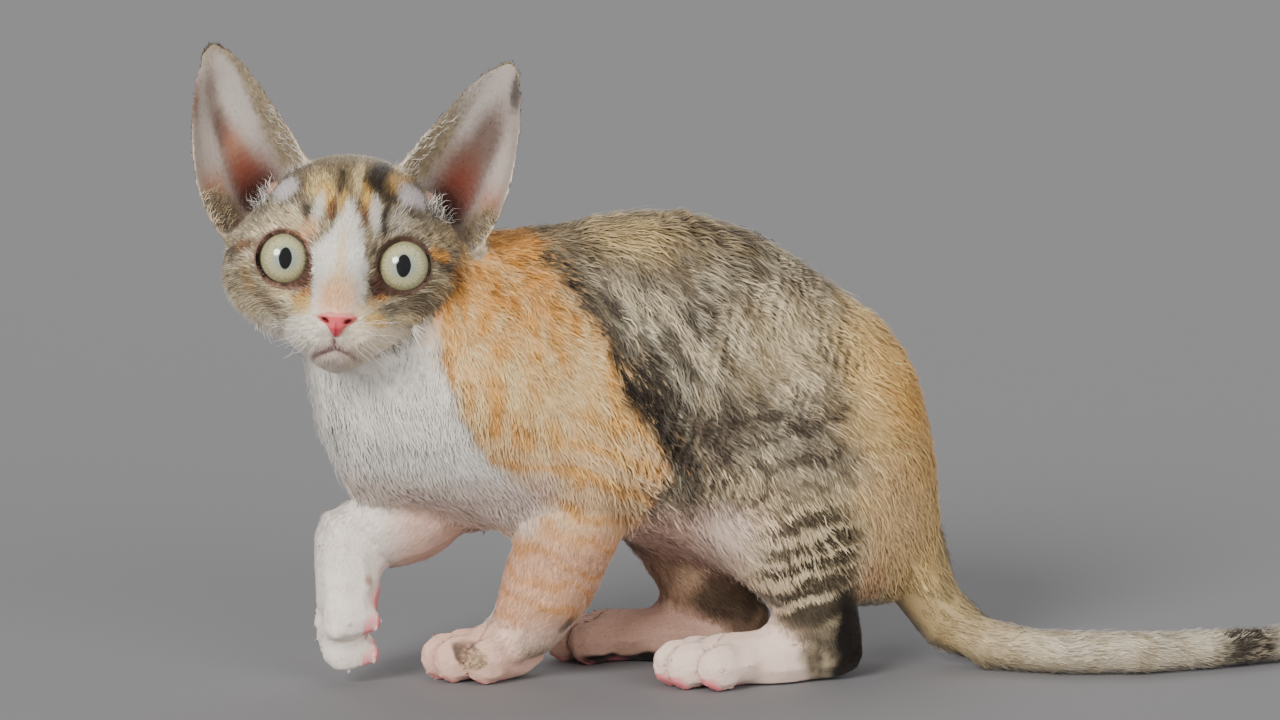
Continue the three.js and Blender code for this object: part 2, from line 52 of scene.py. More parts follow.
# Eyes, lids and nose
EYE_SPACING = 35.2
EYEBALL = 9.2  # radius
EYE_DEPTH = 7.6  # of an eyeball's centre behind the eye plane
LID_OPENING = 7.9  # radius
LID_RIM = 0.32  # radius of the rim's own section
GAZE_OUT = 0.07  # how far each eye's lids turn outwards
INNER_CORNER = math.radians(-135)
LID_MARGIN = 0.15  # how far beyond the opening the skin still runs under the eyeball's surface
LID_TUCK = 0.9  # how deep under it
LID_LIFT = 0.8  # how far the skin round the lids is clear of it
PUPILS = {"left": (2.2, 3.4), "right": (1.95, 3.25)}  # half width and half height
NOSE_SPREAD = 1.14  # how much wider the leather is than its solid
NOSE_MIDDLE = 0.2
NOSE_VOXEL = 0.22
WHISKER_RADIUS = 0.09

# Skin
VOXEL = 1.1
OVERLAP = 0.6  # how far the flesh is swollen before it is fused, which closes the partings
FOOT_CLOSING = 1.1  # how much more the feet are swollen
PLAIN_FACES = 94000  # the fused skin is thinned to about this many, mostly on the trunk
LOWEST_SKIN = 0.15  # height of the soles above the floor
LOWEST_HAIR = 0.06

# Waves of the coat
WAVE_LENGTH = 5.4
HANGING_WAVE_LENGTH = 6.4
WAVE_HEIGHT = 0.45

# Toes
TOE_SPACING = 5.9
TOE_FAN = 0.9  # degrees that a toe turns outwards for each millimetre it lies from the middle
TOE_PITCH = 6  # degrees that a toe's tip is lifted
SOLE_TRIM = 0.5  # how much of a toe's underside is cut flat
LIFTED_PAW = "forepaw_right"
LIFTED_CLEFTS = 0.3  # how deep the clefts of its toes are, beside the other feet's

# Coats: how deep the skin lies below the coat, then a tuft's length, width and lift as a share of its length
COATS = {
    "body": (1.7, 3.9, 0.40, 0.17),
    "shoulder": (1.5, 3.8, 0.38, 0.17),
    "leg": (0.8, 2.8, 0.34, 0.12),
    "foot": (0.4, 1.0, 0.2, 0.06),
    "tail": (1.1, 4.2, 0.34, 0.14),
    "head": (0.7, 2.6, 0.30, 0.15),
    "muzzle": (0.4, 1.7, 0.28, 0.12),
    "ear": (0.3, 1.5, 0.17, 0.13),
}

# Long waved locks of the flank: length, width and lift
LOCK = (8.5, 0.52, 0.10)
BAKED_TUFT = 0.003  # how much of the map for baked colours a tuft covers

# The body's lengths: points along each, radii there, and the coat it wears
LIMBS = {
    "trunk": (
        [(-112, 22, 92), (-63, 22, 93), (-20, 22, 96), (22, 22, 80), (44, 22, 54)],
        [27, 42, 46, 44, 32],
        "body",
    ),
    "neck": ([(-126, 18, 126), (-95, 22, 107)], [22, 28], "body"),
    "upper_arm_left": ([(-80, 2, 100), (-76, -2, 86), (-50, 3, 70)], [16, 17, 17], "shoulder"),
    "upper_arm_right": ([(-80, 42, 100), (-80, 44, 86), (-83, 41, 57)], [16, 17, 14], "shoulder"),
    "forearm_left": ([(-50, 3, 68), (-54, 9, 50), (-59, 15, 33), (-66, 21, 17)], [15, 15.5, 14, 11.8], "leg"),
    "forearm_right": ([(-83, 41, 56), (-99, 36, 50), (-113, 31, 45)], [13, 13.5, 13], "leg"),
    "forepaw_left": ([(-67, 24, 10), (-99, 21.5, 7)], [10, 9], "foot"),
    "forepaw_right": ([(-116, 28, 42), (-115, 27, 6)], [11, 9], "foot"),
    "thigh_left": ([(25, 4, 72), (21, 3, 57), (13, -2, 39)], [30, 28, 14], "shoulder"),
    "thigh_right": ([(25, 40, 72), (13, 41, 57), (-18, 47, 40)], [30, 28, 14], "shoulder"),
    "shin_left": ([(13, -2, 38), (20, 0, 26), (27, 2, 14)], [12, 13, 10], "leg"),
    "shin_right": ([(-18, 47, 39), (-6, 42, 27), (6, 37, 14)], [12, 13, 10], "leg"),
    "hindfoot_left": ([(27, 3, 9), (-31, -3, 7)], [9, 9], "foot"),
    "hindfoot_right": ([(4, 37, 9), (-56, 49, 7)], [9, 9], "foot"),
    "tail": (
        [
            (57, 22, 44), (59, 20, 28), (65, 15, 15.5), (78, 6, 7.6), (98, -6, 7.1),
            (120, -11, 6.9), (144, -8.5, 6.5), (173, -2, 5.8), (199, 6, 5), (219, 14, 3.4),
        ],
        [12, 11, 9.3, 7.6, 7.3, 7.1, 6.7, 6, 5.2, 3.2],
        "tail",
    ),
}

# Feet: where the longest toe ends, which way it points, which way is up, how far each toe falls short, right to left,
# and a toe's half length, width and height
Foot = namedtuple("Foot", "at heading up tips toe")
FEET = {
    "forepaw_left": Foot((-99, 21.5, 0), (-0.98, -0.12, 0), (0, 0, 1), (8, 0, 2.5, 11), (8.6, 4.8, 8.2)),
    "forepaw_right": Foot(
        (-113.4, 26.5, 3.6), (0.02, -0.05, -1), (-1, 0, 0), (10, 1.5, 0, 11), (7.8, 4.8, 8.9),
    ),
    "hindfoot_left": Foot((-31, -3, 0), (-0.99, -0.1, 0), (0, 0, 1), (8, 0, 2.5, 11), (8.6, 4.8, 8.2)),
    "hindfoot_right": Foot((-56, 49, 0), (-0.98, 0.2, 0), (0, 0, 1), (11, 2.5, 0, 8), (8.6, 4.8, 8.2)),
}

DEWCLAW = (-115.2, 19.0, 31.5)  # on the inner side of the lifted paw

FLESH = [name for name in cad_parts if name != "nose" and not name.startswith("eye")]


# Which lengths of the body each group of tufts grows on
GROUPS = {
    "trunk": ["trunk", "neck", "upper_arm_left", "upper_arm_right", "thigh_left", "thigh_right"],
    "leg": [name for name in LIMBS if name.startswith(("fore", "shin", "hind"))],
    "tail": ["tail"],
    "head": ["head", "muzzle"],
    "ear": ["ear_left", "ear_right"],
}
GROUPS["lock"] = GROUPS["trunk"]


# Numbers over many points
def smoothstep(low, high, x):
    t = np.clip((x - low) / (high - low), 0, 1)
    return t * t * (3 - 2 * t)


def unit(v):
    return v / np.maximum(np.linalg.norm(v, axis=-1, keepdims=True), 1e-9)


def lerp(a, b, t):
    return a + (b - a) * t


def noise(p, size, seed):
    """Smooth noise from -1 to 1 at points, with bumps of about that size."""
    q = p / size + 31.7 * seed
    cell = np.floor(q).astype(np.int64)
    share = q - cell
    share = share * share * (3 - 2 * share)
    total = np.zeros(len(p))
    for corner in itertools.product((0, 1), repeat=3):
        key = cell + corner
        mixed = (key[:, 0] * 73856093) ^ (key[:, 1] * 19349663) ^ (key[:, 2] * 83492791) ^ (seed * 2654435)
        mixed = (mixed ^ (mixed >> 13)) * 1274126177 & 0x7FFFFFFF
        mixed = (mixed ^ (mixed >> 15)) * 2246822519 & 0x7FFFFFFF
        weight = np.prod(np.where(corner, share, 1 - share), axis=1)
        total += weight * (mixed / 0x7FFFFFFF * 2 - 1)
    return total


def wander(p, size, seed, far):
    """Points moved about by noise, which makes the edge of a patch ragged."""
    return p + far * np.stack([noise(p, size, seed + k) for k in range(3)], axis=1)


def along_line(p, points, radii):
    """Where points lie by a jointed line: distance over the radius there, share along it, its way, nearest place."""
    points, radii = np.array(points, float), np.array(radii, float)
    lengths = np.linalg.norm(np.diff(points, axis=0), axis=1)
    starts = np.concatenate([[0], np.cumsum(lengths)])
    best = np.full(len(p), np.inf)
    share, way, foot = np.zeros(len(p)), np.zeros((len(p), 3)), np.zeros((len(p), 3))
    for i, length in enumerate(lengths):
        step = points[i + 1] - points[i]
        t = np.clip((p - points[i]) @ step / length**2, 0, 1)
        onto = points[i] + t[:, None] * step
        near = np.linalg.norm(p - onto, axis=1) / lerp(radii[i], radii[i + 1], t)
        closer = near < best
        best[closer] = near[closer]
        share[closer] = ((starts[i] + t * length) / starts[-1])[closer]
        way[closer] = step / length
        foot[closer] = onto[closer]
    return best, share, way, foot


# The head's own directions: forward, left and up
head_forward = unit(np.array(HEAD_FORWARD))
level = unit(np.cross([0, 0, 1], head_forward))
head_up = np.cross(head_forward, level)
head_left = level * math.cos(HEAD_ROLL) - head_up * math.sin(HEAD_ROLL)
head_up = np.cross(head_forward, head_left)
HEAD_AXES = np.stack([head_forward, head_left, head_up])


def to_head(p):
    return (np.asarray(p, float) - HEAD_AT) @ HEAD_AXES.T


def from_head(q):
    return np.asarray(q, float) @ HEAD_AXES + HEAD_AT


# Ears: a cupped sheet between an inner and an outer edge, in the head's directions, the left one
EAR_INNER = [(-17, 8, 20), (-20, 14, 29), (-22, 21.8, 41), (-24, 34.4, 57), (-25, 42, 63.5)]
EAR_OUTER = [(-27, 31, -2), (-21, 39.5, 8), (-17, 45.6, 20), (-19, 48.8, 40), (-25, 49, 60)]
EAR_CUP = 17.0  # how deep the cup is at the root
EAR_POINT = 2.4  # how far the tip rises over its edges
EAR_STEPS = 32


def resampled(points, count):
    """Points spread evenly along a smooth curve through some points."""
    points = np.array(points, float)
    ends = np.vstack([2 * points[0] - points[1], points, 2 * points[-1] - points[-2]])
    fine = []
    for i in range(len(points) - 1):
        a, b, c, d = ends[i : i + 4]
        t = np.linspace(0, 1, 20, endpoint=i == len(points) - 2)[:, None]
        square, cube = 2 * a - 5 * b + 4 * c - d, 3 * b - a - 3 * c + d
        fine.append(0.5 * (2 * b + (c - a) * t + square * t**2 + cube * t**3))
    fine = np.vstack(fine)
    run = np.concatenate([[0], np.cumsum(np.linalg.norm(np.diff(fine, axis=0), axis=1))])
    at = np.linspace(0, run[-1], count)
    return np.stack([np.interp(at, run, fine[:, k]) for k in range(3)], axis=1)


def ear_sheet():
    """The left ear's middle surface, in rows from root to tip, and its normals, which face into the cup."""
    inner, outer = resampled(EAR_INNER, EAR_STEPS), resampled(EAR_OUTER, EAR_STEPS)
    u = np.linspace(0, 1, EAR_STEPS)[:, None]
    v = np.linspace(0, 1, EAR_STEPS)[None, :]
    width = np.linalg.norm(inner - outer, axis=1)[:, None]
    depth = EAR_CUP * (1 - u**1.6) ** 0.8 * np.minimum(1, width / 20)
    sheet = inner[:, None, :] * (1 - v[..., None]) + outer[:, None, :] * v[..., None]
    sheet[..., 0] -= depth * np.sin(np.pi * v**1.15) ** 0.85
    sheet[..., 2] += EAR_POINT * u**6 * np.sin(np.pi * v) - 0.12 * depth * np.sin(np.pi * v)
    up = np.gradient(sheet, axis=0)
    across = np.gradient(sheet, axis=1)
    return sheet, unit(np.cross(across, up))


EAR_SHEET, EAR_NORMAL = ear_sheet()


# Where points lie on an ear: distance from its sheet, shares up and across it, 1 if they face its cup, and its side
Ear = namedtuple("Ear", "near up across inner side")


def ear_place(p, normal):
    q, facing = to_head(p), normal @ HEAD_AXES.T
    side = np.where(q[:, 1] > 0, 1.0, -1.0)
    mirror = np.stack([np.ones(len(q)), side, np.ones(len(q))], axis=1)
    q, facing = q * mirror, facing * mirror
    cells, cell_normals = EAR_SHEET.reshape(-1, 3), EAR_NORMAL.reshape(-1, 3)
    near = np.full(len(q), 99.0)
    up, across, inner = np.zeros(len(q)), np.zeros(len(q)), np.zeros(len(q))
    index = np.flatnonzero((q[:, 1] > 2) & (q[:, 2] > -12) & (np.abs(q[:, 0] + 25) < 28))
    for chunk in np.array_split(index, max(1, len(index) // 4000)):
        if len(chunk) == 0:
            continue
        gap = np.linalg.norm(q[chunk, None, :] - cells[None], axis=2)
        nearest = gap.argmin(axis=1)
        near[chunk] = gap[np.arange(len(chunk)), nearest]
        up[chunk] = nearest // EAR_STEPS / (EAR_STEPS - 1)
        across[chunk] = nearest % EAR_STEPS / (EAR_STEPS - 1)
        inner[chunk] = np.einsum("ij,ij->i", facing[chunk], cell_normals[nearest]) > 0
    return Ear(near, up, across, inner, side)


# What coat each point wears, and which way it lies
HEAD_BONE = ([(-34, 0, 4), (-14, 0, 2), (-2, 0, -8)], [29, 28, 20])
NAMES = [*LIMBS, "head", "muzzle", "ear_left", "ear_right"]
LIMBS_INDEX = {name: k for k, name in enumerate(NAMES)}
WEARS = [coat for _, _, coat in LIMBS.values()] + ["head", "muzzle", "ear", "ear"]
COAT_TABLE = np.array([COATS[coat] for coat in WEARS])

# For points of the skin: shares of each length of the body, the coat's sizes, the way that it lies, where the points
# are along each length, and where they are on the ears
Lie = namedtuple("Lie", "share sizes flow places ear")

# The ways that the coat hangs on the neck, the shoulders and the thighs
HANGING = {
    "neck": (0.35, 0, -1.0),
    "upper_arm_left": (0.25, 0, -1.0),
    "upper_arm_right": (0.25, 0, -1.0),
    "thigh_left": (0.55, 0, -0.9),
    "thigh_right": (0.55, 0, -0.9),
}


def part_of(share, *names):
    """The share that some lengths of the body have together."""
    return share[:, [LIMBS_INDEX[name] for name in names]].sum(axis=1)


def lie(p, normal):
    near = np.zeros((len(p), len(NAMES)))
    ways = np.zeros((len(p), len(NAMES), 3))
    places = {}
    for k, (name, (points, radii, _)) in enumerate(LIMBS.items()):
        near[:, k], along, ways[:, k], foot = along_line(p, points, radii)
        places[name] = (along, foot)
    back = LIMBS_INDEX["trunk"]
    lateral = smoothstep(0.2, 0.9, np.abs(normal[:, 1]))[:, None]
    steep = 0.7 + 0.9 * smoothstep(15, -40, p[:, :1])
    breast = smoothstep(0.0, 0.6, -normal[:, :1]) * smoothstep(-55, -85, p[:, :1])
    ways[:, back] = unit(ways[:, back] + (lateral * steep + 1.8 * breast) * np.array([0.05, 0, -1.0]))
    for name, way in HANGING.items():
        ways[:, LIMBS_INDEX[name]] = unit(np.array(way))
    q = to_head(p)
    head, muzzle = LIMBS_INDEX["head"], LIMBS_INDEX["muzzle"]
    near[:, head] = along_line(q, *HEAD_BONE)[0]
    near[:, muzzle] = np.linalg.norm((q - [6, 0, -18]) / [11, 13, 9], axis=1)
    from_nose = q - [15, 0, -14]
    from_nose[:, 0] -= 6
    ways[:, head] = ways[:, muzzle] = unit(from_nose) @ HEAD_AXES
    ear = ear_place(p, normal)
    tipward = unit(np.array([-0.05, 0.42, 1.0]))
    for name, side in SIDES.items():
        k = LIMBS_INDEX[f"ear_{name}"]
        near[:, k] = np.where(ear.side == side, ear.near / 3.2 + 6 * smoothstep(0.14, 0.02, ear.up), 99)
        ways[:, k] = (tipward * [1, side, 1]) @ HEAD_AXES
    share = 1 / np.maximum(near, 0.05) ** 7
    share /= share.sum(axis=1, keepdims=True)
    flow = np.einsum("ij,ijk->ik", share, ways)
    flow -= normal * np.einsum("ij,ij->i", flow, normal)[:, None]
    return Lie(share, share @ COAT_TABLE, unit(flow), places, ear)


def bands(run, p, length, seed):
    """Rows of waves along a measure of length, bent and broken by noise, from -1 to 1."""
    bent = run + 5.5 * noise(p, 20, seed) + 2.4 * noise(p, 8, seed + 1) + 0.6 * noise(p, 3, seed + 2)
    return np.sin(2 * np.pi * bent / length)


def flank_wave(p):
    x, z = p[:, 0], p[:, 2]
    return bands(x + (z - 95 - 0.9 * (x + 40)) ** 2 / 160, p, WAVE_LENGTH, 11)


def hanging_wave(p):
    return bands(0.3 * p[:, 0] - p[:, 2], p, HANGING_WAVE_LENGTH, 14)


def wave_reach(p, share):
    """How far each of the two rows of waves lifts the coat at points of the skin."""
    x, z = p[:, 0], p[:, 2]
    patchy = np.clip(0.6 + 0.9 * noise(p, 13, 17), 0.05, 1.1) * smoothstep(46, 60, z) * smoothstep(50, 18, x)
    trunk, thighs = part_of(share, "trunk"), part_of(share, "thigh_left", "thigh_right")
    flank = trunk * smoothstep(-58, -44, x) + 0.4 * thighs
    loose = part_of(share, "neck", "upper_arm_left", "upper_arm_right") + trunk * smoothstep(-50, -66, x)
    return patchy * np.clip(flank, 0, 1), 0.3 * patchy * np.clip(loose, 0, 1)


def crests(p, share):
    """The waves of the coat, from -1 in the troughs to 1 on the crests."""
    flank, hanging = wave_reach(p, share)
    return flank * flank_wave(p) + hanging * hanging_wave(p)


# Colours, as they look in soft light
def rgb(code):
    value = np.array([int(code[i : i + 2], 16) for i in (1, 3, 5)]) / 255
    return ((value + 0.055) / 1.055) ** 2.4


ASH = rgb("#bcb29b")
SOOT = rgb("#483d33")
BLACK = rgb("#1d1510")
SAND = rgb("#d2b680")
GOLD = rgb("#efbc68")
ORANGE = rgb("#e8993c")
APRICOT = rgb("#f5b98a")
PEACH = rgb("#ffc6a2")
CREAM = rgb("#f9dfae")
WHITE = rgb("#fffaf0")
ROSE = rgb("#f9cdb8")
BLUSH = rgb("#b08b7b")
PAD = rgb("#ea8288")
CHOCOLATE = rgb("#70492a")
PALE_ASH = lerp(ASH, CREAM, 0.5)
DUN = lerp(SAND, SOOT, 0.45)


def blended(a, b, share):
    """A colour between two at each point."""
    return lerp(a, b, share[:, None])


def paint(colour, over, mask):
    return colour + (np.asarray(over) - colour) * np.clip(mask, 0, 1)[:, None]


def mottle(p, size, seed):
    """Smooth noise from 0 to 1."""
    return 0.5 + 0.5 * noise(p, size, seed)


def ripple(run, length):
    return np.sin(run * 2 * np.pi / length)


def spot(a, b, centre, size, turn=0.0, soft=0.35):
    """A soft oval in a plane of two coordinates: 1 inside and 0 outside. turn is in degrees."""
    c, s = math.cos(math.radians(turn)), math.sin(math.radians(turn))
    da, db = a - centre[0], b - centre[1]
    far = np.hypot((c * da + s * db) / size[0], (c * db - s * da) / size[1])
    return 1 - smoothstep(1 - soft, 1 + soft, far)


def inside(a, b, outline, soft):
    """1 inside a closed outline in a plane of two coordinates and 0 outside, with a soft edge."""
    corners = np.array(outline, float)
    point = np.stack([a, b], axis=1)
    far = np.full(len(a), np.inf)
    within = np.zeros(len(a), bool)
    for start, end in zip(corners, np.roll(corners, -1, axis=0)):
        edge = end - start
        t = np.clip((point - start) @ edge / (edge @ edge), 0, 1)
        far = np.minimum(far, np.linalg.norm(point - start - t[:, None] * edge, axis=1))
        spans = (start[1] > b) != (end[1] > b)
        rise = edge[1] if edge[1] else 1e-9
        within ^= spans & (a < start[0] + edge[0] * (b - start[1]) / rise)
    return smoothstep(-soft, soft, np.where(within, far, -far))


class Coat:
    """The coat's colour at points, painted over step by step. Its spots lie in a plane of two coordinates."""

    def __init__(self, ground, a, b):
        self.colour = np.broadcast_to(ground, (len(a), 3))
        self.a = a
        self.b = b

    def paint(self, over, mask):
        self.colour = paint(self.colour, over, mask)

    def spot(self, over, strength, *oval, where=1.0):
        self.paint(over, strength * spot(self.a, self.b, *oval) * where)


# Outlines of patches on the left side, x and z
ORANGE_SHOULDER = [
    (-97, 131), (-78, 146), (-64, 143), (-63, 132), (-56, 121), (-47, 110), (-43, 99), (-40, 88),
    (-31, 78), (-28, 66), (-34, 50), (-43, 34), (-55, 12), (-76, 10), (-78, 30), (-76, 47),
    (-77, 60), (-80, 70), (-88, 80), (-93, 92), (-98, 108), (-100, 120),
]
GOLD_RUMP = [(38, 125), (36, 100), (34, 84), (33, 70), (31, 55), (31, 42), (33, 30), (80, 8), (80, 130)]

# Black behind the shoulder and at the withers: x and z, half sizes, turn and strength
BLACK_MARKS = [
    ((-39, 95), (6.6, 19), 30, 0.95),
    ((-31, 100), (4, 11), 30, 0.8),
    ((-58, 129), (9, 4), -42, 0.9),
    ((-29, 80), (6, 9), 14, 0.8),
    ((-47, 117), (4.5, 9), 34, 0.6),
]

# Where the white of the bib ends: heights, and x there
BIB_EDGE = ([50, 62, 71, 80, 92, 108, 120, 132], [-68, -71, -79, -89, -94, -98, -100, -98])
FAR_BIB_EDGE = ([40, 60, 80, 100, 120], [-62, -66, -86, -96, -100])

# The tail's rings: shares of its length, and how black it is there
TAIL_RINGS = (
    [0, 0.6, 0.64, 0.7, 0.74, 0.79, 0.85, 0.88, 0.95, 1],
    [0, 0, 0.92, 0.95, 0.1, 0, 0.75, 0.8, 0.05, 0],
)


def paint_flank(coat, p, y, wave, ticking, broad):
    """Ashy tabby with a dark back and a barred hip, and painted light on the waves' crests and painted shade in their
    troughs.
    """
    x, z = coat.a, coat.b
    sooty = 0.2 + 0.4 * ticking * broad + 0.32 * smoothstep(0.35, 0.75, broad)
    # Sooty ticking, with painted shade in the waves' troughs, then painted light on their crests
    coat.paint(SOOT, sooty + 0.6 * np.clip(-wave, 0, 1))
    coat.paint(PALE_ASH, 0.45 * np.clip(wave, 0, 1) * broad)
    slanted = np.stack([0.83 * x + 0.55 * z, 0.5 * y, 0.22 * (0.83 * z - 0.55 * x)], axis=1)
    strand = mottle(slanted, 2.3, 39)
    coat.paint(SOOT, 0.75 * smoothstep(0.52, 0.25, strand))
    coat.paint(PALE_ASH, 0.5 * smoothstep(0.56, 0.8, strand))
    top = smoothstep(114, 136, z - 0.12 * np.abs(x + 25))
    coat.paint(blended(SAND, SOOT, 0.55 + 0.45 * ticking), 0.8 * top)
    coat.spot(SAND, 0.5 * top, (-34, 138), (12, 8), 0, 0.5)
    coat.spot(SOOT, 0.5, (-26, 66), (24, 22), 10, 0.5, where=0.5 + 0.7 * broad)
    coat.spot(BLACK, 0.6, (4, 82), (6, 3), 35, 0.5)
    coat.spot(CREAM, 0.35, (8, 105), (16, 15), 0, 0.7)
    coat.paint(SAND, 0.45 * smoothstep(8, 40, x) * (0.4 + 0.6 * broad))
    coat.spot(CREAM, 0.5, (12, 55), (22, 12), -20, 0.6)
    hip = smoothstep(0.1, 0.7, ripple(z - 0.35 * x + 3 * noise(p, 12, 36), 8) * (0.4 + broad))
    coat.spot(SOOT, 0.32 + 0.6 * hip, (6, 70), (30, 18), 20, 0.5)


def paint_rump(coat, p, left, ticking, broad):
    """Gold over the rump, and apricot where the tail leaves it."""
    ragged = coat.a + 6 * noise(p, 13, 37) + 3 * noise(p, 5, 38)
    rich = blended(lerp(GOLD, CREAM, 0.35), lerp(SAND, SOOT, 0.12), 0.42 * ticking)
    coat.paint(rich, inside(ragged, coat.b, GOLD_RUMP, 8) * (0.8 + 0.2 * broad))
    coat.spot(lerp(GOLD, ORANGE, 0.45), 0.6, (54, 84), (10, 24), 10, 0.7, where=0.5 + broad)
    coat.spot(lerp(CREAM, APRICOT, 0.5), 0.55, (44, 50), (13, 18), 0, 0.7)
    coat.spot(APRICOT, 0.7, (34, 30), (7, 8), 0, 0.5, where=left)


def paint_belly(coat, y, broad):
    """The thinly haired belly and groin."""
    x, z = coat.a, coat.b
    under = smoothstep(60, 46, z) * smoothstep(-60, -34, x) * smoothstep(24, 2, x)
    coat.paint(blended(BLUSH, ROSE, 0.3 + 0.5 * broad), 0.9 * under)
    coat.spot(lerp(WHITE, ROSE, 0.45), 0.6, (-4, 44), (13, 8), -35, 0.6, where=smoothstep(24, 10, y))


def orange_coat(x, z, p, broad):
    """The orange of the left shoulder and foreleg: streaked above, barred below and pale at the paw."""
    streak = mottle(p * [1, 1, 0.22], 2.6, 33)
    bars = smoothstep(-0.35, 0.75, ripple(z + 0.3 * x + 4 * noise(p, 10, 35), 9.5))
    warmth = np.clip(2.2 * streak - 0.85 + 0.4 * broad, 0, 1) * 0.85
    high = blended(lerp(CREAM, GOLD, 0.3), lerp(GOLD, ORANGE, 0.75), warmth)
    low = blended(lerp(CREAM, APRICOT, 0.45), ORANGE, bars * (0.35 + 0.45 * broad))
    orange = Coat(blended(low, high, smoothstep(62, 92, z)), x, z)
    orange.spot(lerp(GOLD, ORANGE, 0.5), 0.5, (-48, 72), (15, 20), 20, 0.6, where=bars)
    rings = smoothstep(0.1, 0.95, ripple(z + 0.35 * x + 3 * noise(p, 8, 40), 8.5))
    forearm = blended(PEACH, lerp(ORANGE, APRICOT, 0.2), 0.04 + 0.75 * rings * (0.35 + broad))
    orange.paint(forearm, smoothstep(56, 40, z))
    orange.paint(lerp(ORANGE, SOOT, 0.32), 0.8 * smoothstep(102, 128, z) * (0.4 + 0.8 * streak))
    orange.spot(ORANGE, 0.7, (-71, 139), (9, 8), 0, 0.6)
    orange.paint(lerp(ROSE, WHITE, 0.2), smoothstep(24, 13, z))
    return orange.colour


def paint_bib(coat, y, normal):
    """The white bib and chest, whose edge differs on the two sides, and the thinly haired skin under them."""
    x, z = coat.a, coat.b
    edge = np.interp(z, *BIB_EDGE)
    bib = smoothstep(2.5, -2.5, x - edge) * smoothstep(44, 54, z)
    far_edge = lerp(edge, np.interp(z, *FAR_BIB_EDGE), smoothstep(0, 18, y - MIDLINE))
    far_bib = smoothstep(4, -4, x - far_edge) * smoothstep(116, 104, z)
    coat.paint(WHITE, np.where(y < MIDLINE, bib, far_bib))
    under = smoothstep(72, 60, z) * smoothstep(44, 52, z) * smoothstep(-56, -68, x)
    coat.paint(lerp(WHITE, ROSE, 0.5), 0.9 * under * smoothstep(0.2, -0.4, normal[:, 2]))


def body_colour(p, normal, wave):
    """The colours of the trunk, the shoulders and the thighs, and the ticking that other parts share."""
    x, y, z = wander(p, 5.0, 21, 1.8).T
    left = smoothstep(-6, 6, MIDLINE - y)
    ticking = mottle(p * [1, 1, 0.55], 1.4, 31)
    broad = mottle(p, 11, 32)
    coat = Coat(ASH, x, z)
    paint_flank(coat, p, y, wave, ticking, broad)
    paint_rump(coat, p, left, ticking, broad)
    for centre, size, turn, strength in BLACK_MARKS:
        coat.spot(BLACK, strength, centre, size, turn, 0.45, where=0.75 + 0.25 * ticking)
    paint_belly(coat, y, broad)
    coat.paint(orange_coat(x, z, p, broad), inside(x, z, ORANGE_SHOULDER, 2.6) * left)
    coat.spot(lerp(GOLD, ORANGE, 0.4), 0.85, (-72, 118), (20, 22), 0, 0.3, where=1 - left)
    paint_bib(coat, y, normal)
    return coat.colour, ticking


def paint_forelegs(legs, p, y, part):
    """A pink and white right foreleg, and a pink left forepaw with a dark spot on its toes."""
    x, z = legs.a, legs.b
    pinkish = blended(WHITE, lerp(ROSE, BLUSH, 0.25), 0.2 + 0.7 * smoothstep(-114, -100, x))
    upper = part["upper_arm_right"] * smoothstep(75, 62, z)
    legs.paint(pinkish, 1.3 * (part["forearm_right"] + part["forepaw_right"] + 0.8 * upper))
    legs.paint(lerp(ROSE, BLUSH, 0.18), 1.4 * part["forepaw_left"] * smoothstep(24, 14, z))
    near_side = smoothstep(19, 16, y)
    tawny = blended(SOOT, lerp(SAND, ROSE, 0.5), np.clip(mottle(p, 0.5, 45), 0, 0.8))
    legs.spot(BLACK, 0.85, (-86.4, 10.6), (3.6, 4.0), 0, 0.2, where=near_side)
    legs.spot(tawny, 1.0, (-83.8, 9.0), (3.6, 3.6), 0, 0.15, where=near_side)
    legs.spot(BLACK, 0.7, (-55.5, 19), (1.4, 3.4), -35, 0.4, where=part["forearm_left"] > 0.3)


def paint_left_hind_leg(legs, p, y, part, ticking):
    """Dark bars over cream, black behind the shin, a ticked heel and a white foot."""
    x, z = legs.a, legs.b
    outer = smoothstep(22, 14, y)
    low = spot(x, z, (16, 38), (21, 21), -12, 0.25) * (part["thigh_left"] + part["shin_left"]) * outer
    legs.paint(lerp(CREAM, ASH, 0.4), 0.8 * low)
    run = z - 0.32 * x + 3.4 * noise(p * [0.5, 1, 1], 9, 43)
    fuller = 0.15 + 0.55 * smoothstep(6, 26, x) + 0.3 * smoothstep(42, 26, z)
    bars = smoothstep(-0.25, 0.2, ripple(run, 7.4) + fuller + 0.4 * noise(p * [0.5, 1, 1], 6, 44))
    legs.paint(BLACK, 0.95 * low * bars * smoothstep(-5, 6, x) * smoothstep(36, 29, x))
    lower = part["shin_left"] + part["hindfoot_left"]
    legs.paint(BLACK, 1.3 * smoothstep(21, 28, x) * smoothstep(42, 32, z) * lower * outer)
    legs.paint(lerp(WHITE, ROSE, 0.5), smoothstep(10, 4, x) * smoothstep(30, 20, z) * part["shin_left"])
    legs.paint(lerp(WHITE, ROSE, 0.6), 1.5 * part["hindfoot_left"] * smoothstep(20, 14, x + 0.3 * (z - 8)))
    heel = blended(SOOT, lerp(ASH, SAND, 0.3), 0.7 * ticking)
    legs.spot(heel, 1.0, (20.5, 9), (6, 7.5), 0, 0.3, where=lower * smoothstep(20, 12, y))


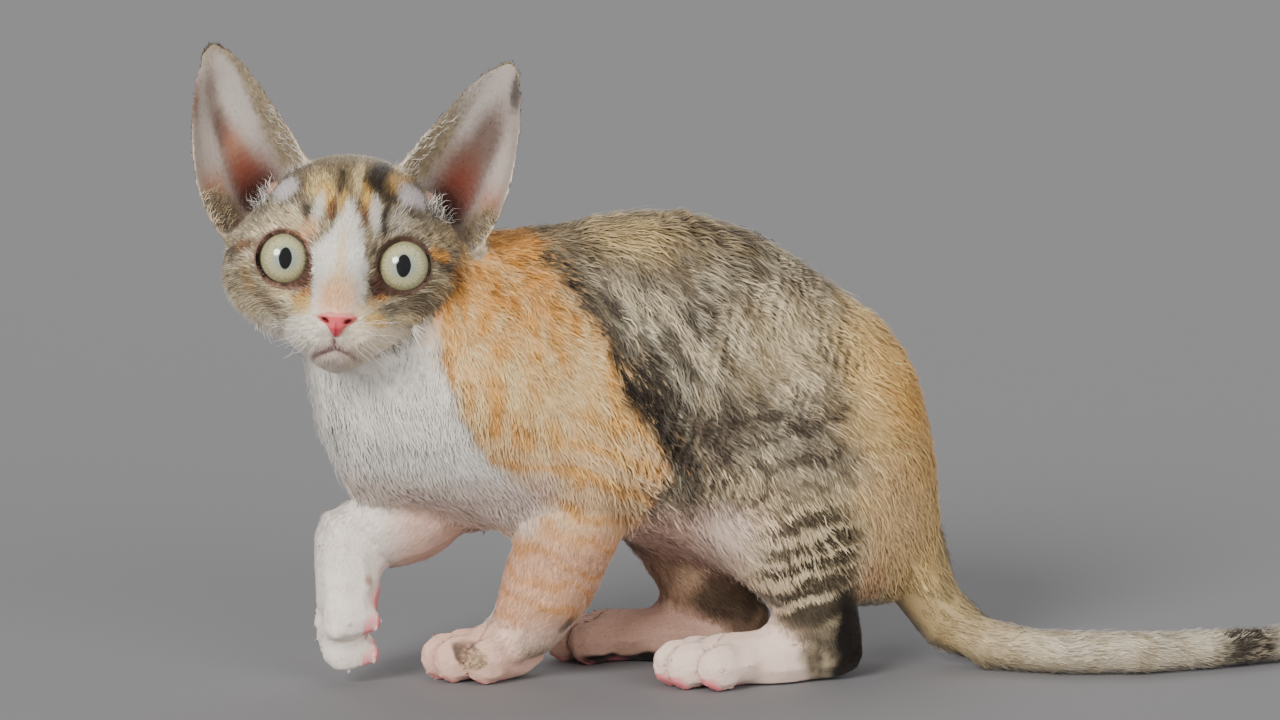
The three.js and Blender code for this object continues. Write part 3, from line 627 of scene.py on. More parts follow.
def leg_colour(p, share, colour, ticking):
    x, y, z = wander(p, 4.0, 41, 1.0).T
    part = {name: share[:, k] for name, k in LIMBS_INDEX.items()}
    legs = Coat(colour, x, z)
    paint_forelegs(legs, p, y, part)
    paint_left_hind_leg(legs, p, y, part, ticking)
    # Right hind leg, the far one: sandy brown with a dark hock, both partly painted shade, and a pink foot darkened
    # to pink-brown as painted shade
    shin, foot = part["shin_right"], part["hindfoot_right"]
    legs.paint(blended(lerp(SAND, ROSE, 0.4), CHOCOLATE, 0.35 + 0.5 * ticking), 0.95 * shin)
    legs.spot(BLACK, 0.95 * shin, (0, 19), (11, 12), 0, 0.3)
    legs.paint(lerp(ROSE, BLUSH, 0.8), 1.3 * foot * smoothstep(2, -12, x))
    # Painted shade in the clefts between the toes, darker round the dewclaw, and a painted shadow along the right
    # hind foot's sole
    legs.paint(rgb("#7d5a52"), 0.7 * toe_clefts(p, 1.0))
    from_claw = np.linalg.norm(p - np.add(DEWCLAW, (0, 0, 1.6)), axis=1)
    legs.paint(rgb("#a9806c"), 0.8 * smoothstep(2.4, 0.8, from_claw))
    legs.paint(BLACK, 1.3 * smoothstep(4.4, 2.8, z) * smoothstep(-48, -42, x) * foot)
    return legs.colour


def tail_colour(p, share, places, colour, ticking):
    run = places["tail"][0] + 0.012 * noise(p, 4, 51)
    pale = lerp(lerp(WHITE, CREAM, 0.4), ASH, 0.55)
    tail = blended(lerp(SAND, SOOT, 0.2), pale, smoothstep(0.15, 0.42, run))
    faint = smoothstep(0.1, 0.9, np.sin(run * 2 * np.pi * 15 + 1.5 * noise(p, 7, 52)))
    tail = paint(tail, DUN, 0.42 * faint * smoothstep(0.2, 0.34, run))
    tail = paint(tail, SOOT, 0.32 * ticking)
    tail = paint(tail, BLACK, np.interp(run, *TAIL_RINGS))
    return paint(colour, tail, 1.3 * share[:, LIMBS_INDEX["tail"]])


# Marks of the face: left and up on the head, half sizes, turn, colour, strength
FACE_MARKS = [
    ((0, 27), (17, 9), 0, lerp(SAND, SOOT, 0.6), 0.75),
    ((-20, 0), (9, 16), 8, lerp(ASH, CREAM, 0.35), 0.55),
    ((-17, 11.5), (7, 3.6), 22, lerp(ASH, CREAM, 0.5), 0.8),
    ((-8.4, 22.6), (3.8, 4.2), 20, SAND, 0.8),
    ((-6.3, 19.6), (2.8, 3.6), 12, GOLD, 0.85),
    ((-1.8, 24), (1.3, 4.6), 6, BLACK, 0.7),
    ((2.8, 25), (1.7, 5), 2, lerp(CREAM, SAND, 0.5), 0.7),
    ((6, 20.4), (1.6, 4), 8, GOLD, 0.85),
    ((9, 26.5), (3.6, 5.5), -28, BLACK, 0.9),
    ((11.6, 21.5), (2.8, 4.2), 6, BLACK, 0.8),
    ((15, 27), (3.2, 5), -20, lerp(GOLD, SOOT, 0.25), 0.7),
    ((11.8, 13), (1.4, 4.8), -6, BLACK, 0.95),
    ((-11.8, 14.4), (1.5, 2.8), 16, BLACK, 0.85),
    ((-4.3, 15.8), (1.4, 3.6), -8, CHOCOLATE, 0.85),
    ((-0.6, 17), (1.6, 3.6), 4, GOLD, 0.7),
    ((5.8, 14.2), (1.3, 3.4), 10, CHOCOLATE, 0.8),
    ((-8.2, 16.2), (1.7, 4.6), -14, lerp(WHITE, ASH, 0.3), 0.8),
    ((8.8, 14.5), (1.6, 5.4), 8, lerp(WHITE, ASH, 0.3), 0.8),
    ((16, 13.2), (3.6, 3.4), 30, lerp(ASH, WHITE, 0.2), 0.6),
    ((20, 16), (5, 2.2), -38, SOOT, 0.55),
    ((-26, 14), (4, 1.4), 35, SOOT, 0.45),
    ((-11.5, 9), (2.4, 4.2), -38, APRICOT, 0.65),
    ((28, 4), (3.2, 1.7), -30, ORANGE, 0.9),
    ((31, 0.5), (3.4, 1.6), -35, BLACK, 0.75),
    ((34, -4), (3.2, 1.8), -40, SOOT, 0.8),
    ((30, 10), (5, 5), 0, lerp(SAND, SOOT, 0.45), 0.7),
    ((-30.5, 3), (4.6, 1.4), 24, CHOCOLATE, 0.8),
    ((-34, 0.5), (2.6, 1.4), 10, BLACK, 0.6),
    ((-28.5, -6.5), (1.6, 4.6), 18, lerp(SAND, CHOCOLATE, 0.5), 0.8),
    ((-23.5, -11.8), (5, 1.7), -42, lerp(SOOT, CHOCOLATE, 0.4), 0.6),
    ((-18.5, -15.6), (4, 1.8), -34, SOOT, 0.5),
    ((-16.4, -20.5), (2.4, 2.8), -20, SOOT, 0.5),
    ((-19, -9.8), (4, 1.6), -20, CREAM, 0.6),
    ((-11, -12.6), (3.4, 2.4), -18, GOLD, 0.85),
    ((17.6, -12.6), (5.4, 2.0), 10, SOOT, 0.6),
    ((25, -10.2), (4.6, 3.0), 34, SOOT, 0.6),
    ((28.6, -6), (2, 4), 12, lerp(SOOT, SAND, 0.3), 0.7),
    ((26, -16.2), (5, 1.8), 22, lerp(SAND, SOOT, 0.5), 0.75),
    ((20, -16), (4, 1.3), 10, CREAM, 0.5),
    ((11.8, -9.6), (2.2, 2.0), 0, lerp(ORANGE, CHOCOLATE, 0.5), 0.85),
    ((9.6, -12.4), (2.0, 2.2), 0, lerp(CREAM, ORANGE, 0.45), 0.8),
    ((-10.2, -9.6), (2.2, 1.5), 0, lerp(ORANGE, CHOCOLATE, 0.35), 0.8),
]

# Outlines of the white on the face: left and up
BLAZE = [
    (0.8, 19), (-1.8, 14), (-3.6, 10), (-5.4, 8.5), (-7.4, 6), (-9.0, 3), (-9.4, -3), (-8.4, -9), (-6.5, -15),
    (6.5, -15), (7.8, -6), (6.6, 4), (4.6, 13),
]
MUZZLE_WHITE = [
    (-7, -13), (-12, -15.5), (-15.5, -19.5), (-16.5, -24), (-13, -30), (-9, -37), (9, -37), (15, -31),
    (19, -24), (17.5, -20), (13, -15.5), (7, -13),
]


def paint_brow(face, forward, exact, ticking):
    """The ashy head, its dark and golden marks, and the white blaze with the pink bridge of the nose over it."""
    left, up = face.a, face.b
    fine = mottle(exact * [1, 1, 0.6], 0.9, 62)
    sooty = 0.08 + 1.1 * ticking * fine + 0.3 * smoothstep(5, 24, up) + 0.35 * smoothstep(17, 27, up)
    face.paint(SOOT, sooty - 0.12 * smoothstep(2, -8, up) - 0.15 * smoothstep(-8, -16, up) * (left < 0))
    face.paint(DUN, 0.7 * smoothstep(-16, -26, forward))
    # Pale cheeks below
    face.paint(lerp(WHITE, CREAM, 0.4), 0.9 * smoothstep(-17, -22, up - 0.05 * np.abs(left)))
    face.paint(lerp(CREAM, ASH, 0.3), 0.7 * smoothstep(-22, -28, left) * smoothstep(-8, -15, up))
    for centre, size, turn, over, strength in FACE_MARKS:
        face.spot(over, strength, centre, size, turn, 0.5, where=smoothstep(-26, -20, forward))
    face.paint(SOOT, 0.3 * (fine > 0.62) * smoothstep(8, 13, np.abs(left)) * smoothstep(-17, -12, up))
    face.paint(WHITE, 0.96 * inside(left + 1.1 * noise(exact * [1, 1, 0.4], 1.5, 66), up, BLAZE, 1.2))
    face.spot(rgb("#33231c"), 0.85, (10.2, -6.6), (2.0, 3.2), 15, 0.4)
    face.spot(rgb("#7c4a3c"), 0.6, (-11.0, -6.8), (2.6, 2.0), 0, 0.5)
    face.spot(CREAM, 0.75, (-0.2, 1), (1.9, 9), 0, 0.7)
    face.spot(lerp(APRICOT, CREAM, 0.25), 1.0, (-0.2, -10.4), (5.6, 7.2), 0, 0.5)


def paint_muzzle(face, forward, exact):
    """The white muzzle, gold at its edges and freckled where the whiskers grow, with its chin and lips, and painted
    shade in the folds beside the nostrils.
    """
    left, up = face.a, face.b
    beside = np.abs(left)
    white = blended(WHITE, CREAM, 0.25 + 0.3 * smoothstep(0, 6, left))
    face.paint(white, 0.95 * inside(left, up, MUZZLE_WHITE, 1.5))
    face.spot(lerp(APRICOT, ROSE, 0.3), 0.85, (0.0, -12.8), (4.8, 3.6), 0, 0.5)
    face.spot(lerp(CREAM, GOLD, 0.6), 0.6, (-10.6, -14.8), (3.2, 2.0), 20)
    face.spot(GOLD, 0.85, (11.6, -16.6), (2.6, 2.1), -18)
    face.spot(CREAM, 0.6, (7.2, -14.4), (2.4, 2.4), -18)
    face.paint(SAND, 0.4 * (noise(exact, 0.9, 63) > 0.3) * spot(beside, up, (8, -21), (5, 3.5)))
    face.spot(rgb("#cdb5ab"), 0.6, (0, -28.5), (6.8, 4.2), 0, 0.8)
    front = forward > -4
    lips = mouth_distance(left, up)
    face.paint(rgb("#b98d8a"), 0.55 * smoothstep(2.2, 0.2, lips) * front)
    face.paint(rgb("#7d5252"), 0.6 * smoothstep(6.5, 2.0, beside) * np.exp(-((lips / 0.55) ** 2)) * front)
    # Painted shade in the fold beside each nostril
    fold = np.abs(up + 17.5 - 0.42 * (beside - 3))
    face.paint(rgb("#a8796a"), 0.7 * smoothstep(0.7, 0.1, fold) * (np.abs(beside - 5.4) < 1.9))


def paint_lids(face, p):
    """Bare skin round the lids, warmer at the outer corner of the right eye and dark at the rims."""
    left, up = face.a, face.b
    around = blended(rgb("#7a574a"), rgb("#4a342b"), left > 0)
    warm = blended(around, rgb("#b07a60"), smoothstep(2, 7, up) * smoothstep(-20, -12, left) * (left < 0))
    for side in SIDES.values():
        radial, opening = lid_place(p, side)
        face.paint(warm, 0.85 * smoothstep(1.7, 0.9, radial - opening))
        face.paint(rgb("#4a3025"), smoothstep(0.5, 0.1, radial - opening))


def head_colour(p, share, colour, ticking):
    exact = to_head(p)
    forward, left, up = to_head(wander(p, 3.5, 61, 0.6)).T
    face = Coat(lerp(ASH, SAND, 0.3), left, up)
    paint_brow(face, forward, exact, ticking)
    paint_muzzle(face, forward, exact)
    paint_lids(face, p)
    weight = part_of(share, "head", "muzzle")
    joined = smoothstep(0.25, 0.65, weight + 0.25 * noise(p, 3, 64) * (weight > 0.05))
    return paint(colour, face.colour, joined)


def mouth_distance(left, up):
    """Distance on the face from the line of the mouth and the groove under the nose."""
    lip = -25.5 - 0.42 * np.abs(left)
    past = np.maximum(np.abs(left) - 5.6, 0)
    line = np.hypot(0.92 * (up - lip), past)
    groove = np.hypot(left, np.maximum(np.abs(up + 23.4) - 1.8, 0))
    return np.minimum(line, groove)


# The bare leather of the nose, as an outline on the face: left and up
LEATHER = [
    (-5.5, -16.2), (-4.4, -15.4), (-2.2, -14.8), (0.2, -15.0), (2.6, -14.8), (4.8, -15.3), (6.0, -16.0),
    (4.9, -17.6), (3.3, -18.5), (2.3, -19.8), (1.4, -21.2), (0.2, -22.1), (-1.0, -21.2), (-1.9, -19.8),
    (-2.9, -18.5), (-4.5, -17.6),
]

# Each nostril's place on the face and its turn
NOSTRILS = [((-3.0, -17.1), -30), ((3.5, -17.2), 30)]

# Marks inside the ears: shares across and up, half sizes, turn, colour, strength, and side where it is on one only
EAR_MARKS = [
    ((0.33, 0.72), (0.24, 0.24), 0, rgb("#b9b1a9"), 0.8, 0),
    # Painted shade in a streak down the cup of the right ear
    ((0.70, 0.73), (0.09, 0.17), 0, rgb("#7c6a5f"), 0.75, -1),
    ((0.65, 0.61), (0.09, 0.09), 0, rgb("#6a534c"), 0.8, -1),
    # Painted shade in the cup of the left ear
    ((0.55, 0.62), (0.2, 0.17), 12, rgb("#584239"), 0.9, 1),
    ((0.47, 0.45), (0.22, 0.13), 0, rgb("#654435"), 0.85, 1),
    ((0.57, 0.47), (0.14, 0.14), 0, rgb("#9c6448"), 0.75, -1),
    ((0.87, 0.40), (0.08, 0.08), 0, rgb("#b8704a"), 0.75, 0),
    ((0.96, 0.78), (0.05, 0.09), 0, rgb("#8d6250"), 0.7, -1),
    ((0.86, 0.54), (0.07, 0.14), 0, rgb("#c9bdb4"), 0.7, 0),
    # The deep concha: dark red-brown, partly painted shade, and near black painted shade at the bottom of the cup
    ((0.52, 0.32), (0.22, 0.15), 0, rgb("#6a2c1c"), 0.9, 0),
    ((0.50, 0.20), (0.22, 0.13), 0, rgb("#2c0f09"), 0.95, 0),
]

# How far across the cup the fur of the inner edge reaches: shares up the ear, and across it
FUR_REACH = ([0.1, 0.3, 0.45, 0.6, 0.85, 1], [0.08, 0.22, 0.24, 0.2, 0.2, 0.45])


def ear_colour(p, share, ear, colour, ticking):
    """Bare skin inside the cup, with painted shade in its hollows, fur along its inner edge and a pale rim, and
    ticked fur outside.
    """
    up, across, left = ear.up, ear.across, ear.side > 0
    cup = Coat(rgb("#a99d95"), across, up)
    for centre, size, turn, over, strength, only_side in EAR_MARKS:
        there = 1.0 if only_side == 0 else ear.side == only_side
        cup.spot(over, strength, centre, size, turn, 0.6, where=there)
    dark = np.clip(0.2 + 0.35 * mottle(p, 0.9, 71) + 0.4 * mottle(p, 0.6, 73), 0, 1)
    ticked = blended(lerp(ASH, SAND, 0.4), SOOT, dark)
    medial = smoothstep(1.3, 0.7, (across + 0.03 * noise(p, 2.2, 72)) / np.interp(up, *FUR_REACH))
    cup.paint(ticked, 0.92 * medial * np.where(left, smoothstep(0.85, 0.5, up), 1))
    cup.spot(lerp(ticked, CHOCOLATE, 0.25), 0.9, (0.92, 0.24), (0.16, 0.14), 0, 0.35)
    cup.paint(ticked, 0.6 * smoothstep(0.9, 0.97, up) * ~left)
    cup.spot(BLACK, 0.8, (0.84, 0.90), (0.14, 0.09), 0, 0.5, where=left)
    rim = np.maximum(smoothstep(0.035, 0.0, across), smoothstep(0.965, 1.0, across))
    cup.paint(lerp(CREAM, WHITE, 0.4), 0.8 * rim * smoothstep(0.1, 0.26, up))
    cup.paint(lerp(ASH, SOOT, 0.6), 0.9 * smoothstep(0.2, 0.07, up) * (across > 0.55))
    outer = blended(lerp(SAND, ASH, 0.5), SOOT, 0.25 + 0.55 * ticking)
    outer = paint(outer, BLACK, 0.6 * smoothstep(0.86, 1.0, up) * ~left)
    both = np.where(ear.inner[:, None] > 0, cup.colour, outer)
    return paint(colour, both, smoothstep(0.3, 0.7, part_of(share, "ear_left", "ear_right")))


# Before each ear: bare lilac skin, and a knob of flesh at the mouth of the ear with painted shade in the hollow under
# it
KNOB_AT = (-21.5, 24.5, 20.5)
BARE_AT = (-10, 19.3, 21.0)


def ear_root_colour(p, colour):
    q = to_head(p)
    q[:, 1] = np.abs(q[:, 1])
    far = np.linalg.norm((q - BARE_AT) / [9, 5.5, 4.6], axis=1)
    colour = paint(colour, rgb("#e6dcdf"), 0.85 * smoothstep(1.3, 0.4, far + 0.3 * noise(p, 3, 74)))
    knob = np.linalg.norm(q - KNOB_AT, axis=1)
    colour = paint(colour, rgb("#eeb9a2"), 0.9 * smoothstep(3.4, 2.2, knob))
    # Dark red-brown painted shade in the hollow under the knob
    hollow = np.linalg.norm((q - np.add(KNOB_AT, (-1, 1.5, -2.6))) / [3, 1.7, 1.5], axis=1)
    return paint(colour, rgb("#7d3323"), 0.9 * smoothstep(1.3, 0.7, hollow))


# Where the pads of each foot show: the tilt of the skin at which they start, and their height
PADS_SHOWN = {"hindfoot_left": (0.5, 5.2), "forepaw_right": (0.1, 4.2)}
PADS_HIDDEN = (-0.5, 3.6)


def foot_axes(foot):
    """A foot's own directions: forward, left and up."""
    forward = unit(np.array(foot.heading, float))
    across = unit(np.cross(foot.up, forward))
    return np.stack([forward, across, np.cross(forward, across)])


def toe_across(i):
    """How far left of the foot's middle a toe lies."""
    return (i - 1.5) * TOE_SPACING


def pad_mask(p, normal):
    """Toe and sole pads: under each foot's toes, and on the sole of the lifted paw, which faces back."""
    mask = np.zeros(len(p))
    for name, foot in FEET.items():
        axes = foot_axes(foot)
        q, facing = (p - foot.at) @ axes.T, normal @ axes.T
        tilt, top = PADS_SHOWN.get(name, PADS_HIDDEN)
        low = smoothstep(top, top - 0.8, q[:, 2]) * (q[:, 2] > -4)
        sole = smoothstep(tilt, tilt - 0.4, facing[:, 2]) * low
        for i, tip in enumerate(foot.tips):
            mask = np.maximum(mask, sole * spot(q[:, 0], q[:, 1], (-tip - 4.6, toe_across(i)), (3.9, 2.7)))
        sole = sole * smoothstep(-0.3, -0.8, facing[:, 2])
        mask = np.maximum(mask, sole * spot(q[:, 0], q[:, 1], (-21, 0), (6.5, 8)))
    return mask


def markings(p, normal, known=None, waved=True):
    """The coat's colour at points of the skin, with or without the shading of its waves."""
    known = known or lie(p, normal)
    share = known.share
    colour, ticking = body_colour(p, normal, crests(p, share) * waved)
    colour = leg_colour(p, share, colour, ticking)
    colour = tail_colour(p, share, known.places, colour, ticking)
    colour = head_colour(p, share, colour, ticking)
    colour = ear_colour(p, share, known.ear, colour, ticking)
    colour = ear_root_colour(p, colour)
    return paint(colour, PAD, pad_mask(p, normal))


# Eyes: where each sits, and where a point lies round it
def eye_centre(side):
    return from_head([-EYE_DEPTH, side * EYE_SPACING / 2, 0])


def eye_axes(side):
    """Outwards from the nose, up, and along the middle of the lids."""
    forward = unit(np.array([1, side * GAZE_OUT, 0]))
    outward = unit(np.array([-GAZE_OUT, side, 0]))
    return np.stack([outward, [0, 0, 1], forward]) @ HEAD_AXES


def lid_radius(angle):
    """The lids' outline: round, with the inner corner drawn out towards the nose."""
    off = np.arctan2(np.sin(angle - INNER_CORNER), np.cos(angle - INNER_CORNER))
    return LID_OPENING * (1 + 0.24 * np.exp(-((off / 0.34) ** 2)) - 0.03 * np.cos(2 * angle))


def lid_place(p, side):
    """Distance of points from the middle of an eye's lids, seen along them, and the lids' radius there."""
    local = (p - eye_centre(side)) @ eye_axes(side).T
    radial = np.hypot(local[:, 0], local[:, 1])
    radial = np.where(local[:, 2] > -6, radial, 99)
    return radial, lid_radius(np.arctan2(local[:, 1], local[:, 0]))


# Meshes
def deselect():
    if bpy.context.mode != "OBJECT":
        bpy.ops.object.mode_set(mode="OBJECT")
    bpy.ops.object.select_all(action="DESELECT")


def only(piece):
    deselect()
    piece.select_set(True)
    bpy.context.view_layer.objects.active = piece
    return piece


def apply_modifier(piece, kind, **settings):
    only(piece)
    modifier = piece.modifiers.new(kind.lower(), kind)
    for key, value in settings.items():
        setattr(modifier, key, value)
    bpy.ops.object.modifier_apply(modifier=modifier.name)


def edit_all(piece, operation, **settings):
    """Runs an operator of edit mode on the whole of a piece."""
    only(piece)
    bpy.ops.object.mode_set(mode="EDIT")
    bpy.ops.mesh.select_all(action="SELECT")
    operation(**settings)
    bpy.ops.object.mode_set(mode="OBJECT")


def shade_smooth(piece):
    only(piece)
    bpy.ops.object.shade_smooth()


def vertex_values(piece, name):
    flat = np.empty(len(piece.data.vertices) * 3, np.float32)
    piece.data.vertices.foreach_get(name, flat)
    return flat.reshape(-1, 3).astype(float)


def points_of(piece):
    return vertex_values(piece, "co") / MM


def normals_of(piece):
    return vertex_values(piece, "normal")


def move_points(piece, points):
    piece.data.vertices.foreach_set("co", (points * MM).astype(np.float32).ravel())
    piece.data.update()


def corners_of(piece):
    piece.data.calc_loop_triangles()
    flat = np.empty(len(piece.data.loop_triangles) * 3, np.int32)
    piece.data.loop_triangles.foreach_get("vertices", flat)
    return flat.reshape(-1, 3)


def colour_points(piece, colours):
    layer = piece.data.color_attributes.new(name="coat", type="FLOAT_COLOR", domain="POINT")
    rgba = np.concatenate([np.clip(colours, 0, 1), np.ones((len(colours), 1))], axis=1)
    layer.data.foreach_set("color", rgba.astype(np.float32).ravel())


def place_in_mesh(piece):
    only(piece)
    bpy.ops.object.transform_apply(location=True, rotation=True, scale=True)
    return piece


def finished(piece, name, finish, slot, *replaced):
    """Names a piece, gives it its finish, and fixes it to the body."""
    piece.name = piece.data.name = name
    piece.data.materials.clear()
    piece.data.materials.append(finish)
    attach(piece, "root")
    if replaced:
        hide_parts(*replaced)
    return piece


# Finishes
class Socket:
    """A socket of a shader. Arithmetic on it adds Math nodes."""

    def __init__(self, shader, socket):
        self.shader = shader
        self.socket = socket

    def maths(self, operation, *values):
        return self.shader.node("ShaderNodeMath", {"operation": operation}, dict(enumerate(values)))

    def __add__(self, other):
        return self.maths("ADD", self, other)

    __radd__ = __add__

    def __sub__(self, other):
        return self.maths("SUBTRACT", self, other)

    def __rsub__(self, other):
        return self.maths("SUBTRACT", other, self)

    def __mul__(self, other):
        return self.maths("MULTIPLY", self, other)

    __rmul__ = __mul__

    def __truediv__(self, other):
        return self.maths("DIVIDE", self, other)

    def __pow__(self, other):
        return self.maths("POWER", self, other)

    def ramp(self, low, high):
        """From 0 at low to 1 at high, smoothly."""
        settings = {"interpolation_type": "SMOOTHSTEP"}
        return self.shader.node("ShaderNodeMapRange", settings, {0: self, 1: low, 2: high, 3: 0.0, 4: 1.0})


class Finish:
    """A material whose shader is built by calls."""

    def __init__(self, name, **base):
        self.material = bpy.data.materials.new(name)
        self.material.use_nodes = True
        self.tree = self.material.node_tree
        self.base = self.tree.nodes["Principled BSDF"]
        for key, value in base.items():
            self.base.inputs[key.replace("_", " ")].default_value = value

    def node(self, kind, settings=None, values=None, output=0):
        made = self.tree.nodes.new(kind)
        for key, value in (settings or {}).items():
            setattr(made, key, value)
        for key, value in (values or {}).items():
            if isinstance(value, Socket):
                self.tree.links.new(value.socket, made.inputs[key])
            else:
                made.inputs[key].default_value = value
        return Socket(self, made.outputs[output])

    def link(self, name, value):
        self.tree.links.new(value.socket, self.base.inputs[name])

    def place(self):
        return self.node("ShaderNodeTexCoord", output="Object")

    def mix(self, a, b, share):
        """Between two colours, each a socket or a code."""
        a, b = (colour4(value) if isinstance(value, str) else value for value in (a, b))
        settings = {"data_type": "RGBA"}
        return self.node("ShaderNodeMix", settings, {"Factor": share, 6: a, 7: b}, output=2)

    def grain(self, scale):
        return self.node("ShaderNodeTexNoise", None, {"Vector": self.place(), "Scale": scale, "Detail": 3.0})

    def bump(self, height, strength, distance):
        values = {"Height": height, "Strength": strength, "Distance": distance}
        self.link("Normal", self.node("ShaderNodeBump", None, values))

    def take_markings(self):
        """Takes the colour that is painted on the mesh's points."""
        settings = {"attribute_name": "coat"}
        self.link("Base Color", self.node("ShaderNodeAttribute", settings, output="Color"))


def colour4(code):
    return (*rgb(code).tolist(), 1.0)


def coat_finish():
    sheen = {"Sheen_Weight": 0.25, "Sheen_Roughness": 0.4}
    coat = Finish("waved_coat", Roughness=0.72, Specular_IOR_Level=0.3, **sheen)
    coat.take_markings()
    return coat.material


def skin_finish():
    sheen = {"Sheen_Weight": 0.15, "Sheen_Roughness": 0.4}
    skin = Finish("short_fur_over_skin", Roughness=0.62, Specular_IOR_Level=0.35, **sheen)
    skin.take_markings()
    skin.bump(skin.grain(1800.0), 0.5, 0.0003)
    return skin.material


def eye_finish(side, pupil):
    """A pale yellow-green iris that looks at the camera, blue-grey round its upright pupil and dark at its edge."""
    eye = Finish("wet_eye", Roughness=0.12, Coat_Weight=1.0, Coat_Roughness=0.02, Specular_IOR_Level=0.5)
    centre = Vector(eye_centre(side)) * MM
    look = (Vector(CAMERA_AT) - centre).normalized()
    across = Vector(head_left * side)
    across = (across - look * across.dot(look)).normalized()
    upward = look.cross(across) * side
    if upward.dot(Vector(head_up)) < 0:
        upward = -upward
    offset = eye.node("ShaderNodeVectorMath", {"operation": "SUBTRACT"}, {0: eye.place(), 1: tuple(centre)})

    def measured(direction):
        values = {0: offset, 1: tuple(direction)}
        return eye.node("ShaderNodeVectorMath", {"operation": "DOT_PRODUCT"}, values, output="Value") / MM

    a, b, ahead = measured(across), measured(upward), measured(look)
    radius = (a * a + b * b) ** 0.5
    turn = a.maths("ARCTAN2", b, a)
    polar = eye.node("ShaderNodeCombineXYZ", None, {0: turn * 9.0, 1: radius * 0.35})
    fibres = {"Vector": polar, "Scale": 2.2, "Detail": 6.0, "Roughness": 0.65}
    rays = eye.node("ShaderNodeTexNoise", {"noise_dimensions": "2D"}, fibres)
    iris = eye.mix("#cfc99c", "#8c9274", rays.ramp(0.38, 0.75))
    ring = (radius + (rays - 0.5) * 1.6).ramp(4.6, 2.6)
    iris = eye.mix(iris, "#94aaa3", ring * 0.8)
    iris = eye.mix(iris, "#857f55", (radius + (rays - 0.5)).ramp(5.4, 6.6) * 0.5)
    iris = eye.mix(iris, "#2b241c", radius.ramp(6.9, 7.6))
    iris = eye.mix(iris, "#6b443a", radius.ramp(8.0, 8.9))
    across_pupil, up_pupil = a / pupil[0], b / pupil[1]
    oval = across_pupil**2.0 + up_pupil.maths("ABSOLUTE", up_pupil) ** 1.7
    iris = eye.mix(iris, "#050505", oval.ramp(1.12, 0.9))
    eye.link("Base Color", eye.mix(iris, "#cbb9ae", ahead.ramp(1.0, -1.0)))
    return eye.material


def lid_finish():
    lid = Finish("lid_rim", Roughness=0.3, Specular_IOR_Level=0.5)
    lid.link("Base Color", lid.mix("#120b09", "#3d2820", lid.grain(900.0).ramp(0.45, 0.7)))
    return lid.material


def nose_finish():
    nose = Finish("nose_leather", Roughness=0.4, Specular_IOR_Level=0.45)
    values = {"Vector": nose.place(), "Scale": 2100.0}
    nose.take_markings()
    nose.bump(nose.node("ShaderNodeTexVoronoi", {"feature": "SMOOTH_F1"}, values), 0.3, 0.0001)
    return nose.material


def hair_finish():
    return Finish("whisker", Base_Color=colour4("#f4f0ea"), Roughness=0.4).material


# Camera: where the photograph was taken from, in metres
CAMERA_AT = (-0.2907, -1.2052, 0.2638)
CAMERA_AIM = (-0.033, 0.007, 0.1006)
LENS = 115.3

coat_look = coat_finish()


# Skin: the flesh fused into one surface, smoothed, and drawn in by the coat's depth
def swollen_copy(name, far):
    """A copy of a solid with its points merged and pushed out by so much."""
    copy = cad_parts[name].copy()
    copy.data = copy.data.copy()
    copy.parent = None
    for key in list(copy.keys()):
        del copy[key]
    bpy.context.scene.collection.objects.link(copy)
    edit_all(copy, bpy.ops.mesh.remove_doubles, threshold=0.00001)
    move_points(copy, points_of(copy) + far * normals_of(copy))
    return copy


def remesh(piece, size):
    apply_modifier(piece, "REMESH", mode="VOXEL", voxel_size=size * MM, adaptivity=0.0)


def fused_flesh():
    """All the flesh as one surface. The nose's solid helps to fill the muzzle."""
    copies = []
    for name in [*FLESH, "nose"]:
        copies.append(swollen_copy(name, OVERLAP + FOOT_CLOSING * (name in FEET)))
    deselect()
    for copy in copies:
        copy.select_set(True)
    bpy.context.view_layer.objects.active = copies[0]
    bpy.ops.object.join()
    remesh(copies[0], VOXEL)
    return copies[0]


def keep_largest(piece):
    edit_all(piece, bpy.ops.mesh.separate, type="LOOSE")
    loose = sorted(bpy.context.selected_objects, key=lambda o: len(o.data.vertices))
    for scrap in loose[:-1]:
        bpy.data.objects.remove(scrap)
    return only(loose[-1])


def refine(piece, mask):
    """Splits the faces round the masked points once."""
    only(piece)
    piece.data.polygons.foreach_set("select", np.zeros(len(piece.data.polygons), bool))
    piece.data.edges.foreach_set("select", np.zeros(len(piece.data.edges), bool))
    piece.data.vertices.foreach_set("select", mask)
    bpy.ops.object.mode_set(mode="EDIT")
    bpy.ops.mesh.select_mode(type="VERT")
    bpy.ops.mesh.subdivide(number_cuts=1)
    bpy.ops.object.mode_set(mode="OBJECT")
    edit_all(piece, bpy.ops.mesh.quads_convert_to_tris, quad_method="SHORTEST_DIAGONAL", ngon_method="BEAUTY")


def smooth_by(piece, weight, iterations):
    group = piece.vertex_groups.new(name="soft")
    for level in range(1, 11):
        index = np.flatnonzero(np.round(weight * 10).astype(int) == level)
        if len(index):
            group.add(index.tolist(), level / 10, "REPLACE")
    apply_modifier(piece, "SMOOTH", factor=0.5, iterations=iterations, vertex_group="soft")
    piece.vertex_groups.clear()


def thin_out(piece, weight, faces):
    """Thins a mesh to about that many triangles, and not at all where the weight is 0."""
    group = piece.vertex_groups.new(name="plain")
    for level in (0.5, 1.0):
        group.add(np.flatnonzero(weight == level).tolist(), level, "REPLACE")
    piece.data.calc_loop_triangles()
    share = faces / len(piece.data.loop_triangles)
    apply_modifier(piece, "DECIMATE", ratio=share, vertex_group="plain", vertex_group_factor=1.0)
    piece.vertex_groups.clear()


